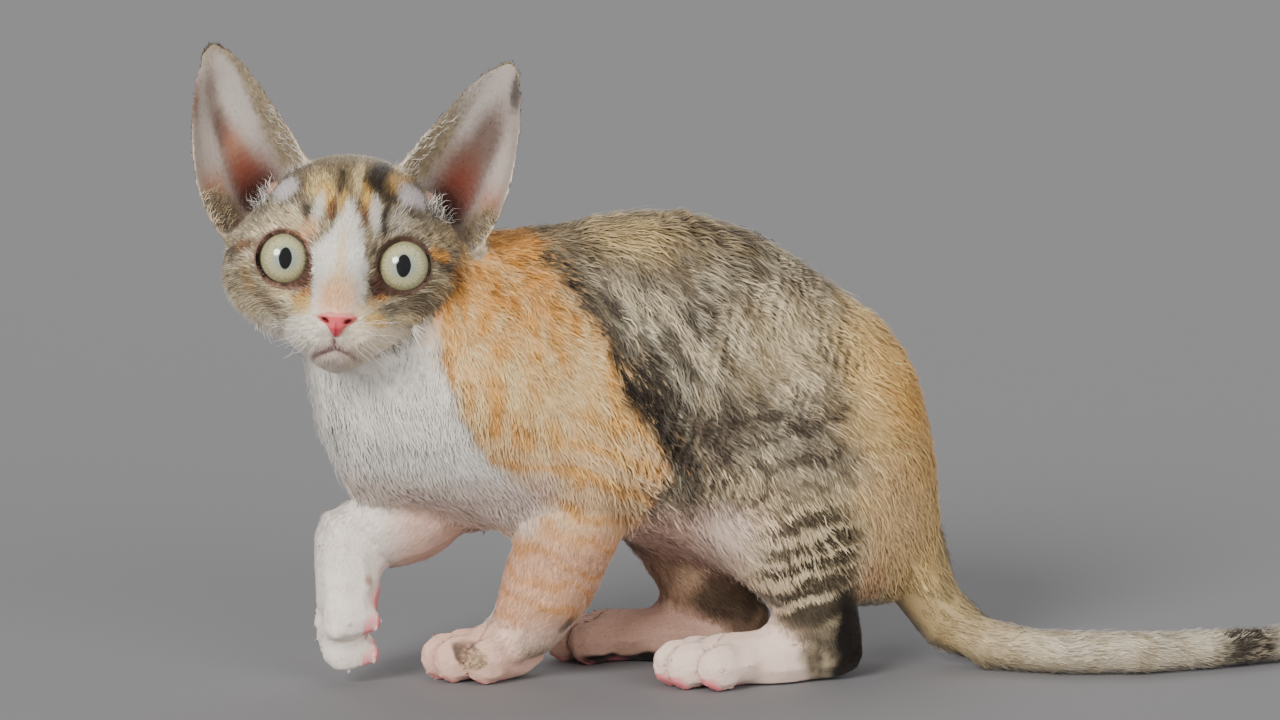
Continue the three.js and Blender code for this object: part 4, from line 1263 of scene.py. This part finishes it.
def settle_lids(p):
    """Tucks the skin inside the lids under the eyeball, and lifts what lies round them clear of it."""
    for side in SIDES.values():
        centre = eye_centre(side)
        offset = p - centre
        radial, opening = lid_place(p, side)
        within = radial < opening + LID_MARGIN
        far = np.linalg.norm(offset, axis=1)
        inner = within & (far < EYEBALL + 6)
        p = np.where(inner[:, None], centre + unit(offset) * np.minimum(far, EYEBALL - LID_TUCK)[:, None], p)
        outer = ~within & (far < EYEBALL + LID_LIFT)
        p = np.where(outer[:, None], centre + unit(offset) * (EYEBALL + LID_LIFT), p)
    return p


def bell(x, middle, width):
    """1 at the middle, falling off smoothly on both sides."""
    return np.exp(-(((x - middle) / width) ** 2))


def face_relief(p):
    """Grooves and folds of the face, as a height along the normal."""
    forward, left, up = to_head(p).T
    beside = np.abs(left)
    front = smoothstep(-6, 0, forward)
    lips = mouth_distance(left, up)
    mouth = -0.3 * bell(lips, 0, 0.6) * front + 0.2 * bell(lips, 1.7, 0.9) * front * (np.abs(up + 27) < 5)
    chin = 1.4 * bell(left, 0, 5.5) * bell(up, -31, 3.2) * smoothstep(-14, -6, forward)
    rows = np.sin((up + 0.35 * beside) * 2 * np.pi / 3.0) * np.sin(beside * 2 * np.pi / 3.2)
    height = mouth + chin + 0.12 * rows * spot(beside, up, (8.5, -20.5), (4.5, 4))
    for side in SIDES.values():
        radial, opening = lid_place(p, side)
        height += 0.4 * bell(radial - opening, 0.9, 0.7) - 0.35 * bell(radial - opening, 2.6, 0.8)
    height -= 1.3 * inside(left, up, LEATHER, 0.8) * front
    from_knob = np.stack([forward, beside, up], axis=1) - KNOB_AT
    return height + 1.8 * np.exp(-((from_knob / 2.4) ** 2).sum(axis=1))


def toe_zone(p, foot):
    """Points in a foot's own directions from its longest toe's end, and 1 on the toes to 0 away from them."""
    q = (p - foot.at) @ foot_axes(foot).T
    beside = (np.abs(q[:, 1]) < 17) & (q[:, 2] > -4) & (q[:, 2] < 19) & (q[:, 0] < 4)
    return q, smoothstep(-28, -24, q[:, 0]) * beside


def on_toes(p):
    return np.max([toe_zone(p, foot)[1] for foot in FEET.values()], axis=0)


def toe_gaps(q, foot):
    """Distances of points, in a foot's own directions, from the rounded body of each toe."""
    gaps = []
    for i, tip in enumerate(foot.tips):
        across = toe_across(i)
        turn, pitch = math.radians(TOE_FAN * across), math.radians(TOE_PITCH)
        turned = Matrix.Rotation(pitch, 3, "Y") @ Matrix.Rotation(turn, 3, "Z")
        local = (q - [-tip - foot.toe[0], across, foot.toe[2] - SOLE_TRIM]) @ np.array(turned)
        scaled = np.linalg.norm(local / foot.toe, axis=1)
        slope = np.linalg.norm(local / np.square(foot.toe), axis=1)
        gaps.append(scaled * (scaled - 1) / np.maximum(slope, 1e-6))
    return np.stack(gaps, axis=1)


def toe_clefts(p, width=0.8):
    """How deep points lie in the clefts, where two toes are equally near, from 0 to 1."""
    deep = np.zeros(len(p))
    for name, foot in FEET.items():
        q, zone = toe_zone(p, foot)
        near = np.flatnonzero(zone > 0)
        gaps = toe_gaps(q[near], foot)
        order = np.argsort(gaps, axis=1)
        first, second = (np.take_along_axis(gaps, order[:, k : k + 1], axis=1)[:, 0] for k in (0, 1))
        from_tip = q[near, 0] + np.array(foot.tips)[order[:, 0]]
        cleft = zone[near] * smoothstep(-14, -8, from_tip) * bell(second - first, 0, width)
        deep[near] = cleft * (LIFTED_CLEFTS if name == LIFTED_PAW else 1.0)
    return deep


def toe_relief(p):
    """Clefts between the toes, a faint fold over each claw and a dewclaw, as a height along the normal."""
    height = -1.5 * toe_clefts(p)
    for name, foot in FEET.items():
        q, zone = toe_zone(p, foot)
        x, y, z = q.T
        if name == LIFTED_PAW:
            # Fills the hollow behind its knuckles
            height += 1.6 * smoothstep(8, 13, z) * bell(x, -13.2, 2.4) * (zone > 0)
        for i, tip in enumerate(foot.tips):
            round_claw = np.hypot(y - toe_across(i), 0.7 * (z - 5.6))
            front = smoothstep(-tip - 3.4, -tip - 2, x) * smoothstep(5.2, 6.2, z) * (zone > 0)
            height -= 0.18 * front * bell(round_claw, 1.9, 0.5)
    return height + 1.2 * np.exp(-((p - DEWCLAW) ** 2).sum(axis=1) / 5)


def ear_relief(ear):
    """Folds low in the cup, and a ridge along its outer side."""
    folds = 0.35 * np.sin(ear.across * 2 * np.pi * 2.6 + 1.5 * ear.up) * smoothstep(0.55, 0.1, ear.up)
    ridge = 0.6 * bell(ear.across, 0.72 + 0.05 * ear.up, 0.04) * smoothstep(0.8, 0.5, ear.up)
    return np.where((ear.inner > 0) & (ear.near < 4), folds + ridge, 0)


def thin_flesh(skin):
    """Smooths the fused flesh, less where it is detailed, and thins it where it is plain."""
    p = points_of(skin)
    share = lie(p, normals_of(skin)).share
    ears, feet, head = (part_of(share, *names) for names in (GROUPS["ear"], FEET, GROUPS["head"]))
    lifted = smoothstep(36, 30, p[:, 2]) * smoothstep(-111, -115, p[:, 0])
    smooth_by(skin, np.clip(1 - 0.5 * ears - 0.6 * feet * (1 - lifted) - 0.3 * head, 0.1, 1), 16)
    p = points_of(skin)
    fine = (ears > 0.4) | (feet > 0.5) | (on_toes(p) > 0.01) | ((head > 0.4) & (to_head(p)[:, 0] > -22))
    legs = part_of(share, *[name for name in NAMES if "arm" in name or "shin" in name])
    thin_out(skin, np.where(fine, 0.0, np.where(legs + head > 0.5, 0.5, 1.0)), PLAIN_FACES)
    p = points_of(skin)
    plain = (np.linalg.norm(to_head(p), axis=1) > 50) & (p[:, 2] > 26)
    smooth_by(skin, plain.astype(float), 3)


def refine_details(skin):
    """Splits the faces of the face and the toes, which carry the smallest forms."""
    p = points_of(skin)
    q = to_head(p)
    face = (q[:, 0] > -8) & (np.abs(q[:, 1]) < 29) & (np.abs(q[:, 2] + 8) < 25)
    near = np.linalg.norm(q, axis=1) < 38
    refine(skin, (face & near) | (on_toes(p) > 0.2))


def draw_in(skin):
    """Draws the skin in by the coat's depth and adds its small forms. Gives its points."""
    p, normal = points_of(skin), normals_of(skin)
    known = lie(p, normal)
    foot = smoothstep(0.3, 0.7, part_of(known.share, *FEET))
    p = p - normal * (FOOT_CLOSING * foot)[:, None]
    relief = ear_relief(known.ear) + toe_relief(p) + 0.5 * pad_mask(p, normal)
    p = p + normal * (relief - known.sizes[:, 0] - OVERLAP)[:, None]
    p = settle_lids(p + normal * face_relief(p)[:, None])
    p[:, 2] = np.maximum(p[:, 2], LOWEST_SKIN)
    move_points(skin, p)
    return p


def make_skin():
    skin = keep_largest(fused_flesh())
    thin_flesh(skin)
    refine_details(skin)
    p = draw_in(skin)
    shade_smooth(skin)
    colour_points(skin, markings(p, normals_of(skin)))
    return finished(skin, "skin", skin_finish(), "ticked_coat", *FLESH)


# Eyes, lids and nose
def make_eye(side, name):
    deselect()
    centre = tuple(Vector(eye_centre(side)) * MM)
    bpy.ops.mesh.primitive_uv_sphere_add(segments=64, ring_count=40, radius=EYEBALL * MM, location=centre)
    eye = place_in_mesh(bpy.context.active_object)
    shade_smooth(eye)
    return finished(eye, f"eyeball_{name}", eye_finish(side, PUPILS[name]), "eye", f"eye_{name}")


def make_lid(side, name):
    """A soft wet rim that follows the lids' outline on the eyeball."""
    deselect()
    section = 0.1
    fineness = {"major_segments": 96, "minor_segments": 12}
    bpy.ops.mesh.primitive_torus_add(major_radius=1.0, minor_radius=section, **fineness)
    lid = bpy.context.active_object
    ring = points_of(lid) * MM
    angle = np.arctan2(ring[:, 1], ring[:, 0])
    opening = lid_radius(angle)
    radius = opening + (np.hypot(ring[:, 0], ring[:, 1]) - 1) / section * LID_RIM
    ahead = np.sqrt(np.maximum((EYEBALL + 0.25) ** 2 - np.minimum(opening, EYEBALL) ** 2, 1.0))
    height = ring[:, 2] / section * LID_RIM * 1.15
    local = np.stack([radius * np.cos(angle), radius * np.sin(angle), ahead + height], axis=1)
    move_points(lid, local @ eye_axes(side) + eye_centre(side))
    edit_all(lid, bpy.ops.mesh.normals_make_consistent, inside=False)
    shade_smooth(lid)
    return finished(lid, f"lid_rim_{name}", lid_finish(), "face_coat")


def make_nose():
    """Leather that comes out of the bridge's fur, with a nostril on each side and a groove down its middle."""
    nose = swollen_copy("nose", 0.2)
    remesh(nose, NOSE_VOXEL)
    apply_modifier(nose, "SMOOTH", factor=0.5, iterations=10)
    q = to_head(points_of(nose))
    q[:, 1] = NOSE_MIDDLE + NOSE_SPREAD * (q[:, 1] - NOSE_MIDDLE)
    forward, left, up = q.T
    leather = inside(left, up, LEATHER, 0.45)
    comma = sum(spot(left, up, at, (1.1, 0.5), turn, 0.6) for at, turn in NOSTRILS)
    groove = bell(left, NOSE_MIDDLE, 0.28) * smoothstep(-16.8, -18.5, up)
    q[:, 0] += np.where(forward > 6, 0.15 * leather - 2.4 * (1 - leather) - 1.1 * comma - 0.3 * groove, 0)
    pink = Coat(rgb("#f0686f"), left, up)
    pink.paint(rgb("#f3a098"), smoothstep(-16.4, -15.2, up))
    pink.paint(rgb("#dc4355"), 0.8 * bell(left, NOSE_MIDDLE, 0.9) * smoothstep(-17.5, -19.5, up))
    # Painted shade in the groove down its middle
    pink.paint(rgb("#b8404c"), 0.8 * groove)
    pink.paint(rgb("#d3686a"), 0.7 * smoothstep(3.4, 5.4, np.abs(left - 0.1)) * smoothstep(-16, -17, up))
    # Painted shade in the nostrils
    pink.paint(rgb("#6e1f1c"), 1.2 * comma)
    move_points(nose, from_head(q))
    colour_points(nose, pink.colour)
    shade_smooth(nose)
    return finished(nose, "nose_leather", nose_finish(), "nose_leather", "nose")


# Tufts: each is a thin tapered blade of three sides that leaves the skin, bends over and waves to its tip
Tufts = namedtuple("Tufts", "root normal flow length width lift curl colour patch")

# How broad a tuft is at each of its rings, from the root
BREADTHS = {1: (1.0,), 2: (0.8, 0.9), 3: (0.75, 1.0, 0.7), 4: (0.5, 1.0, 0.95, 0.6)}


def blade_faces(rings):
    """Triangles of one tuft, whose rings have three points each and whose tip has one."""
    faces = [(0, 1, 2)]
    for a, i in itertools.product(range(0, 3 * rings - 3, 3), range(3)):
        j = (i + 1) % 3
        faces += [(a + i, a + 3 + i, a + 3 + j), (a + i, a + 3 + j, a + j)]
    last, tip = 3 * (rings - 1), 3 * rings
    return faces + [(last + i, tip, last + (i + 1) % 3) for i in range(3)]


def blades(tufts, rings):
    """Points and faces of many tufts at once."""
    side = np.cross(tufts.normal, tufts.flow)
    buried = 0.3 if rings > 1 else 0.04
    turns = 1.25 if rings > 2 else 0.75
    layers = []
    for k, s in enumerate(np.linspace(0, 1, rings + 1)):
        rise = tufts.length * tufts.lift * math.sin(math.pi * 0.62 * s**0.75) - buried * (s == 0)
        sway = tufts.curl * tufts.length * math.sin(2 * math.pi * turns * s)
        onward = tufts.length * s * (1 - 0.08 * s)
        over = tufts.normal * rise[:, None] + tufts.flow * onward[:, None]
        middle = tufts.root + over + side * sway[:, None]
        if k == rings:
            layers.append(middle[:, None, :])
            break
        broad = (tufts.width * BREADTHS[rings][k])[:, None]
        ring = (middle - side * broad / 2, middle + side * broad / 2, middle + tufts.normal * broad * 0.25)
        layers.append(np.stack(ring, axis=1))
    points = np.concatenate(layers, axis=1)
    faces = blade_faces(rings)
    centred = points[0] - points[0].mean(axis=0)
    volume = sum(np.dot(centred[a], np.cross(centred[b], centred[c])) for a, b, c in faces)
    return points, np.array(faces)[:, ::-1 if volume < 0 else 1]


def wave_at(points, reach):
    """The waves' height at the points of tufts. reach is how far each row of waves lifts each tuft."""
    count, per = points.shape[:2]
    flat = points.reshape(-1, 3)
    total = np.zeros(len(flat))
    for share, wave in zip(reach, (flank_wave, hanging_wave)):
        if (share > 0.02).any():
            total += np.repeat(share, per) * wave(flat)
    return total.reshape(count, per)


def triangle_mesh(name, points, faces):
    """A smooth mesh in the scene, made from arrays."""
    mesh = bpy.data.meshes.new(name)
    mesh.vertices.add(len(points))
    mesh.vertices.foreach_set("co", (points * MM).astype(np.float32).ravel())
    mesh.loops.add(faces.size)
    mesh.loops.foreach_set("vertex_index", faces.ravel().astype(np.int32))
    mesh.polygons.add(len(faces))
    mesh.polygons.foreach_set("loop_start", np.arange(0, faces.size, 3, dtype=np.int32))
    mesh.update(calc_edges=True)
    mesh.polygons.foreach_set("use_smooth", np.ones(len(faces), bool))
    piece = bpy.data.objects.new(name, mesh)
    bpy.context.scene.collection.objects.link(piece)
    return piece


def tuft_mesh(name, tufts, rings, reach):
    """One mesh of many tufts."""
    points, faces = blades(tufts, rings)
    count, per = points.shape[:2]
    corner = np.arange(per) % 3
    rng = np.random.default_rng(count)
    normal, flow = tufts.normal[:, None, :], tufts.flow[:, None, :]
    # The waves lift each tuft, and its normals lean with them, so that a row of tufts shades as one
    wave = wave_at(points, reach)
    slope = (wave_at(points + 0.4 * flow, reach) - wave_at(points - 0.4 * flow, reach)) / 0.8
    points = points + WAVE_HEIGHT * (wave + 0.9 * sum(reach)[:, None])[..., None] * normal
    points[..., 2] = np.maximum(points[..., 2], LOWEST_HAIR)
    pale = smoothstep(0.3, 0.75, tufts.colour.mean(axis=1))[:, None]
    rough = lerp(1.0, 0.5, pale)
    lean = np.array([-0.25, 0.25, 0.0])[corner]
    lean[-1] = 0
    lean = rough * (lean + rng.normal(0, 0.10, (count, 1)))
    tilt = WAVE_HEIGHT * slope + rough * rng.normal(0, 0.08, (count, 1)) - 0.08
    shading = unit(normal - tilt[..., None] * flow + lean[..., None] * np.cross(normal, flow))
    every = (faces[None] + per * np.arange(count)[:, None, None]).reshape(-1, 3)
    piece = triangle_mesh(name, points.reshape(-1, 3), every)
    piece.data.normals_split_custom_set_from_vertices(shading.reshape(-1, 3).tolist())
    # Darker at the root, with painted shade in the waves' troughs and painted light on their crests, less so where
    # the coat is white
    level = np.minimum(np.arange(per) // 3, rings) / rings
    shade = lerp(lerp(0.68, 0.94, pale), lerp(1.22, 1.03, pale), level[None, :])
    shade = shade * (1 + lerp(0.38, 0.08, pale) * wave)
    colour_points(piece, (tufts.colour[:, None, :] * shade[..., None]).reshape(-1, 3))
    blade_map = np.stack([np.array([0.0, 1.0, 0.5])[corner], level], axis=1)
    uv = (tufts.patch[:, None, :] + blade_map[None] * BAKED_TUFT).reshape(-1, 2)[every.ravel()]
    piece.data.uv_layers.new(name="OFBake").data.foreach_set("uv", uv.astype(np.float32).ravel())
    return piece


# How many tufts each group has, rings a tuft, pieces, a slot, and how much their shades differ
PLANTING = {
    "trunk": (68000, 2, 5, "ticked_coat", 0.3),
    "lock": (8500, 4, 1, "ticked_coat", 0.26),
    "leg": (50000, 1, 2, "white_coat", 0.2),
    "tail": (9000, 2, 1, "cream_coat", 0.25),
    "head": (72000, 1, 2, "face_coat", 0.42),
    "ear": (18000, 1, 1, "ear_skin", 0.25),
}


def skin_unwrap(root, known, names):
    """A map of the skin's own shape: for each length of the body, the share along it and the turn round it."""
    owner = known.share[:, [LIMBS_INDEX[name] for name in names]].argmax(axis=1)
    q = to_head(root)
    u, v = np.zeros(len(root)), np.zeros(len(root))
    for k, name in enumerate(names):
        mine = owner == k
        if name in known.places:
            along, foot = known.places[name]
            away = root - foot
            turn = np.arctan2(away[:, 1], away[:, 2]) / (2 * np.pi) + 0.5
        elif name.startswith("ear"):
            along, turn = known.ear.up, 0.5 * known.ear.across + 0.5 * (known.ear.inner > 0)
        else:
            along = np.arctan2(np.hypot(q[:, 1], q[:, 2] + 4), q[:, 0] + 16) / np.pi
            turn = np.arctan2(q[:, 1], q[:, 2] + 4) / (2 * np.pi) + 0.5
        u[mine], v[mine] = along[mine], turn[mine]
    return np.stack([(owner + 0.02 + 0.94 * u) / len(names), 0.01 + 0.97 * v], axis=1)


def bare_skin(p, normal):
    """Where no fur grows: pads, toe tips, lids, the leather of the nose, and soles."""
    bare = (pad_mask(p, normal) > 0.15) | (p[:, 2] < 0.4)
    for foot in FEET.values():
        bare |= (toe_zone(p, foot)[1] > 0) & (normal @ unit(np.array(foot.heading)) > 0.55)
    for side in SIDES.values():
        radial, opening = lid_place(p, side)
        bare |= radial < opening + 0.7
    q = to_head(p)
    return bare | ((inside(q[:, 1], q[:, 2], LEATHER, 0.3) > 0.4) & (q[:, 0] > 0))


def roots_on(skin, density, count, rng):
    """Places and normals of so many points spread over the skin's triangles by density."""
    p, normal, corners = points_of(skin), normals_of(skin), corners_of(skin)
    chosen = rng.choice(len(corners), count, p=density / density.sum())
    w = rng.random((count, 2))
    fold = w.sum(axis=1) > 1
    w[fold] = 1 - w[fold]
    weights = np.stack([1 - w.sum(axis=1), w[:, 0], w[:, 1]], axis=1)
    root = np.einsum("ij,ijk->ik", weights, p[corners[chosen]])
    return root, unit(np.einsum("ij,ijk->ik", weights, normal[corners[chosen]]))


def crowding(group, p, known):
    """How close a group's tufts stand at points of the skin, beside what is usual."""
    if group == "ear":
        cup = (known.ear.inner > 0) & (known.ear.up > 0.3) & (known.ear.across > 0.2)
        return np.where(cup, 0.08, 1.0)
    if group == "lock":
        return np.clip(wave_reach(p, known.share)[0], 0.02, 1)
    if group == "leg":
        return np.where(known.sizes[:, 1] < 1.8, 0.5, 1.0)
    return 1.0


def grown(group, root, facing, variety, rng):
    """A group's tufts, no two quite alike in way, size or shade, and how far each row of waves lifts them."""
    count = len(root)
    known = lie(root, facing)
    reach = wave_reach(root, known.share)
    swirl = 0.45 * noise(root, 9, 81) + 0.22 * noise(root, 3.5, 83) * (0.4 + reach[0])
    swirl = swirl + 0.12 * rng.normal(size=count)
    side = np.cross(facing, known.flow)
    flow = unit(known.flow * np.cos(swirl)[:, None] + side * np.sin(swirl)[:, None])
    length, width, lift = LOCK if group == "lock" else known.sizes[:, 1:].T
    q = to_head(root)
    cheek = smoothstep(14, 24, np.abs(q[:, 1])) * smoothstep(2, -10, q[:, 2]) if group == "head" else 0
    length = length * rng.uniform(0.7, 1.2, count) * (1 + 0.8 * cheek)
    width = width * rng.uniform(0.7, 1.25, count)
    lift = lift * rng.uniform(0.7, 1.3, count) * np.where(rng.random(count) < 0.15, 2.0, 1.0)
    curl = rng.normal(0, 0.04, count) + (0.09 if group == "lock" else 0.06) * sum(reach) * noise(root, 5, 82)
    colour = markings(root + flow * (0.65 * length)[:, None], facing, known, waved=False)
    dark = smoothstep(0.75, 0.3, colour.mean(axis=1))
    colour = colour * np.exp(rng.normal(0, 1, count) * lerp(0.03, variety, dark))[:, None]
    if group == "lock":
        colour = colour * lerp(1.0, 1.2, dark)[:, None]
    patch = skin_unwrap(root, known, GROUPS[group])
    return Tufts(root, facing, flow, length, width, lift, curl, colour, patch), reach


def plant(skin):
    """Each group grows where it has the greatest share, and the pieces are cut from front to rear."""
    rng = np.random.default_rng(SEED)
    p, normal, corners = points_of(skin), normals_of(skin), corners_of(skin)
    a, b, c = (p[corners[:, k]] for k in range(3))
    area = np.linalg.norm(np.cross(b - a, c - a), axis=1) / 2
    middle, middle_normal = (a + b + c) / 3, unit(normal[corners].sum(axis=1))
    known = lie(middle, middle_normal)
    furred = area * ~bare_skin(middle, middle_normal)
    totals = {group: part_of(known.share, *names) for group, names in GROUPS.items()}
    greatest = np.max(list(totals.values()), axis=0)
    for group in GROUPS:
        count, rings, pieces, slot, variety = PLANTING[group]
        density = furred * (totals[group] == greatest) / np.maximum(known.sizes[:, 1], 1.0) ** 0.9
        root, facing = roots_on(skin, density * crowding(group, middle, known), count, rng)
        tufts, reach = grown(group, root, facing, variety, rng)
        order = np.argsort(root[:, 0], kind="stable")
        for k, part in enumerate(np.array_split(order, pieces)):
            name = f"coat_{group}_{k + 1}"
            chosen = Tufts(*[values[part] for values in tufts])
            piece = tuft_mesh(name, chosen, rings, [share[part] for share in reach])
            finished(piece, name, coat_look, slot)


def plant_ear_locks(skin):
    """Longer pale hairs at each ear's mouth and along its inner edge, and cream ones in its outer fold."""
    rng = np.random.default_rng(SEED + 2)
    p, normal, corners = points_of(skin), normals_of(skin), corners_of(skin)
    middle, middle_normal = p[corners].mean(axis=1), unit(normal[corners].sum(axis=1))
    q = to_head(middle)
    q[:, 1] = np.abs(q[:, 1])
    ear = ear_place(middle, middle_normal)
    cup = (ear.inner > 0) & (ear.near < 5)
    mouth = np.linalg.norm((q - [-22, 26.5, 16.5]) / [9, 6, 4], axis=1) < 1
    fold = cup & (np.abs(ear.across - 0.93) < 0.08) & (np.abs(ear.up - 0.22) < 0.14)
    front = cup & (ear.across < 0.1) & (np.abs(ear.up - 0.3) < 0.25)
    # Where each set grows, how many, their way, how it varies, shortest and longest, and their tint and its share
    sets = (
        (mouth, 300, (0.75, 0.12, 0.5), 0.42, (3.5, 7.5), WHITE, 0.8),
        (fold, 420, (0.7, -0.55, 0.6), 0.28, (2.6, 4.4), CREAM, 0.35),
        (front, 200, (0.4, 0.8, 0.5), 0.28, (2.2, 4.0), WHITE, 0.5),
    )
    parts = []
    for where, count, way, spread, lengths, tint, share in sets:
        root, facing = roots_on(skin, where + 1e-12, count, rng)
        sign = np.sign(to_head(root)[:, 1])
        ways = np.array(way) * np.stack([np.ones(count), sign, np.ones(count)], axis=1)
        flow = unit(unit(ways + rng.normal(0, spread, (count, 3))) @ HEAD_AXES)
        out = facing + 1.5 * np.array([0.6, 0, 0.8]) @ HEAD_AXES
        out = unit(out - flow * np.einsum("ij,ij->i", out, flow)[:, None])
        known = lie(root, facing)
        colour = lerp(markings(root, facing, known), tint, share) * (1 + rng.normal(0, 0.1, count))[:, None]
        patch = skin_unwrap(root, known, GROUPS["ear"])
        parts.append((root, out, flow, rng.uniform(*lengths, count), colour, patch))
    root, out, flow, length, colour, patch = (np.concatenate(arrays) for arrays in zip(*parts))
    count = len(root)
    width, lift = rng.uniform(0.13, 0.24, count), rng.uniform(0.02, 0.14, count)
    tufts = Tufts(root, out, flow, length, width, lift, rng.normal(0, 0.08, count), colour, patch)
    piece = tuft_mesh("coat_ear_locks", tufts, 3, [np.zeros(count)] * 2)
    finished(piece, "coat_ear_locks", coat_look, "ear_skin")


# Whiskers: fine tapered hairs from the whisker pads and the brows
def whisker_roots(skin, rng):
    """Each whisker's root, way and length, in the head's directions."""
    q = to_head(points_of(skin))
    whiskers = []

    def grow(at, side, rearmost, way, length):
        gap = np.hypot(q[:, 1] * side - at[0], q[:, 2] - at[1]) + 5 * (q[:, 0] < rearmost)
        way = unit(np.array(way) * [1, side, 1] + rng.normal(0, 0.14, 3))
        whiskers.append((q[gap.argmin()], way, length))

    for side in SIDES.values():
        for row, column in itertools.product(range(4), range(4)):
            way = (0.1 - 0.2 * column, 1.0, 0.1 - 0.3 * row)
            grow((5.2 + 2.2 * column, -17.6 - 2.2 * row), side, -2, way, rng.uniform(5, 13))
        for k in range(3):
            grow((14.0 + 2.2 * k, 14.5 + 0.6 * k), side, -14, (0.1, 0.35, 0.95), rng.uniform(5, 10))
    return whiskers


def hair(root, way, length, rng):
    """Points and faces of one crimped hair that tapers to its tip."""
    steps, sides = 8, 5
    bend = unit(np.cross(way, rng.normal(size=3)))
    across = unit(np.cross(way, bend))
    points = []
    for s in np.linspace(0, 1, steps + 1):
        crimp = 0.22 * length * s * s + 0.035 * length * math.sin(11 * s)
        middle = root + way * (length * s - 0.6) + bend * crimp
        for turn in 2 * np.pi * np.arange(sides) / sides:
            out = math.cos(turn) * bend + math.sin(turn) * across
            points.append(middle + WHISKER_RADIUS * (1 - 0.8 * s) * out)
    faces = [tuple(reversed(range(sides))), tuple(range(steps * sides, steps * sides + sides))]
    for k, i in itertools.product(range(steps), range(sides)):
        a, b, j = k * sides, (k + 1) * sides, (i + 1) % sides
        faces.append((a + i, a + j, b + j, b + i))
    return points, faces


def make_whiskers(skin):
    """Short crimped whiskers on the pads of the muzzle and over the eyes."""
    rng = np.random.default_rng(SEED + 1)
    points, faces = [], []
    for root, way, length in whisker_roots(skin, rng):
        hair_points, hair_faces = hair(root, way, length, rng)
        faces += [tuple(len(points) + i for i in face) for face in hair_faces]
        points += hair_points
    mesh = bpy.data.meshes.new("whiskers")
    mesh.from_pydata([tuple(from_head(point) * MM) for point in points], [], faces)
    whiskers = bpy.data.objects.new("whiskers", mesh)
    bpy.context.scene.collection.objects.link(whiskers)
    edit_all(whiskers, bpy.ops.mesh.normals_make_consistent, inside=False)
    shade_smooth(whiskers)
    return finished(whiskers, "whiskers", hair_finish(), "white_coat")


skin = make_skin()
for name, side in SIDES.items():
    make_eye(side, name)
for name, side in SIDES.items():
    make_lid(side, name)
make_nose()
plant(skin)
plant_ear_locks(skin)
make_whiskers(skin)


# Floor, light and camera
DAYLIGHT = (1.0, 0.965, 0.92)
SKY, SKY_STRENGTH = (0.62, 0.62, 0.63, 1), 0.55


def make_floor():
    deselect()
    bpy.ops.mesh.primitive_plane_add(size=12, location=(0, 0, 0))
    floor = place_in_mesh(bpy.context.active_object)
    floor.name = "floor"
    look = Finish("pale_floor", Base_Color=colour4("#89898c"), Roughness=0.7, Specular_IOR_Level=0.2)
    floor.data.materials.append(look.material)


def aim(made, way):
    made.rotation_euler = way.to_track_quat("-Z", "Y").to_euler()
    bpy.context.scene.collection.objects.link(made)


def soft_light(name, towards, spread, strength, seen_in_eyes=False):
    """Daylight from one side, spread over some degrees. Not every light glints in the eyes."""
    lamp = bpy.data.lights.new(name, "SUN")
    lamp.angle = math.radians(spread)
    lamp.energy = strength
    lamp.color = DAYLIGHT
    made = bpy.data.objects.new(name, lamp)
    made.location = Vector(towards) * 2
    made.visible_glossy = seen_in_eyes
    aim(made, -Vector(towards))


make_floor()
soft_light("key", (-0.61, -0.65, 0.45), 24, 3.1, seen_in_eyes=True)
soft_light("fill", (0.37, -0.93, 0.32), 40, 1.4)
soft_light("top", (0.1, 0.5, 0.9), 50, 0.8)

world = bpy.data.worlds.new("studio")
world.use_nodes = True
sky = world.node_tree.nodes["Background"]
sky.inputs["Color"].default_value = SKY
sky.inputs["Strength"].default_value = SKY_STRENGTH
bpy.context.scene.world = world

lens = bpy.data.cameras.new("camera")
lens.lens = LENS
lens.sensor_width = 36
lens.clip_start, lens.clip_end = 0.05, 50
camera = bpy.data.objects.new("camera", lens)
camera.location = CAMERA_AT
aim(camera, Vector(CAMERA_AIM) - Vector(CAMERA_AT))
bpy.context.scene.camera = camera

deselect()
